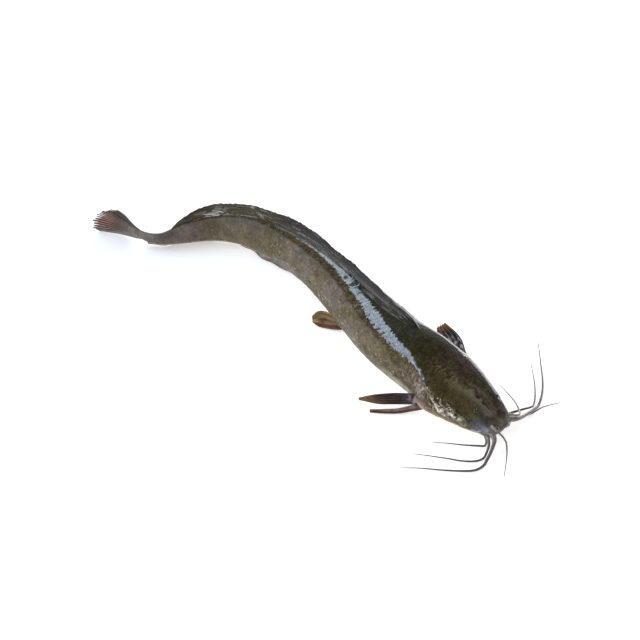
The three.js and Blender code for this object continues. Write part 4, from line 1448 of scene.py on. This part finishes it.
# Floor, light and camera
FLOOR_REACH = 6.0
FISH_AT = (0.11, -0.02, 0.02)
SOFTBOX_HEIGHT = 1.0
SOFTBOX_COLOUR = (0.67, 0.79, 1.0)
# Parts of the one long softbox that hangs level to the left of the fish and widens towards the
# camera: middle, size and radiance.
SOFTBOX_PARTS = (
    ((-0.825, 0.82), (0.16, 0.50), 6.2),
    ((-0.920, 0.37), (0.34, 0.40), 6.2),
    ((-1.020, -0.02), (0.50, 0.38), 6.4),
    ((-1.060, -0.41), (0.76, 0.40), 6.2),
    ((-1.070, -0.79), (0.96, 0.36), 6.1),
    ((-1.420, -1.23), (1.06, 0.52), 6.0),
)
# Other lights: name, place, what they point at, size, power and colour.
SOFT_LIGHTS = (
    ("end of the softbox", (-0.76, -1.12, 0.60), FISH_AT, (0.45, 0.45), 3.4, (0.66, 0.79, 1.0)),
    ("low front card", (-0.28, -1.42, 0.21), FISH_AT, (0.50, 0.38), 5.0, (1.0, 0.93, 0.82)),
    ("low back softbox", (-0.05, 1.50, 0.72), (0.0, 0.0, 0.0), (2.0, 0.80), 17.0, (0.97, 0.985, 1.0)),
    ("rim softbox", (-0.80, 1.38, 0.08), (0.05, 0.0, 0.02), (1.60, 0.13), 3.4, (1.0, 1.0, 0.98)),
)
# Studio surroundings from straight below to straight above: bright low down, dim overhead.
SKY_STOPS = ((0.0, 0.95), (0.20, 0.95), (0.42, 0.42), (0.75, 0.34), (1.0, 0.5))
SKY_TINT = (0.97, 0.985, 1.02)
# The camera: angles in degrees, distance in metres, and the focal length in pixels of the picture.
AZIMUTH, ELEVATION, DISTANCE = 35, 42, 1.05
FOCAL_PIXELS, PICTURE_WIDTH = 1780.0, 640.0
SENSOR = 36.0
# From the snout to the point in the middle of the picture, in millimetres.
TO_MIDDLE = (-138.1, 22.3)


def make_floor():
    reach = FLOOR_REACH
    mesh = bpy.data.meshes.new("floor")
    corners = [(-reach, -reach, 0), (reach, -reach, 0), (reach, reach, 0), (-reach, reach, 0)]
    mesh.from_pydata(corners, [], [(0, 1, 2, 3)])
    mesh.materials.append(floor_finish())
    new_object("floor", mesh)


def aim(thing, target):
    direction = Vector(target) - thing.location
    thing.rotation_euler = direction.to_track_quat("-Z", "Y").to_euler()


def area_light(name, place, size, power, colour):
    data = bpy.data.lights.new(name, "AREA")
    data.shape = "RECTANGLE"
    data.size, data.size_y = size
    data.energy = power
    data.color = colour
    lamp = new_object(name, data)
    lamp.location = place
    return lamp


def make_lights():
    for number, (middle, size, radiance) in enumerate(SOFTBOX_PARTS, 1):
        power = radiance * math.pi * size[0] * size[1]
        area_light(f"softbox part {number}", (*middle, SOFTBOX_HEIGHT), size, power, SOFTBOX_COLOUR)
    for name, place, target, size, power, colour in SOFT_LIGHTS:
        aim(area_light(name, place, size, power, colour), target)


def make_sky():
    world = bpy.data.worlds.new("studio")
    bpy.context.scene.world = world
    world.use_nodes = True
    sky = Tree(world.node_tree)
    place = sky.node("ShaderNodeTexCoord").outputs["Generated"]
    height = sky.node("ShaderNodeSeparateXYZ", Vector=place).outputs["Z"]
    ramp = sky.node("ShaderNodeValToRGB", Fac=height)
    band = ramp.color_ramp
    while len(band.elements) < len(SKY_STOPS):
        band.elements.new(0.5)
    for element, (at, value) in zip(band.elements, SKY_STOPS):
        element.position = at
        element.color = (*[value * tint for tint in SKY_TINT], 1)
    background = sky.tree.nodes["Background"]
    sky.put(ramp.outputs["Color"], background.inputs["Color"])
    background.inputs["Strength"].default_value = 1.0


def make_camera():
    azimuth, elevation = math.radians(AZIMUTH), math.radians(ELEVATION)
    target = Vector(((SNOUT[0] + TO_MIDDLE[0]) * MM, (SNOUT[1] + TO_MIDDLE[1]) * MM, 0.0))
    level = math.cos(elevation)
    away = Vector((math.sin(azimuth) * level, -math.cos(azimuth) * level, math.sin(elevation)))
    data = bpy.data.cameras.new("camera")
    data.sensor_width = SENSOR
    data.lens = SENSOR * FOCAL_PIXELS / PICTURE_WIDTH
    camera = new_object("camera", data)
    camera.location = target + away * DISTANCE
    aim(camera, target)
    bpy.context.scene.camera = camera


make_floor()
make_sky()
make_camera()
make_lights()
bpy.context.scene.view_settings.view_transform = "Standard"
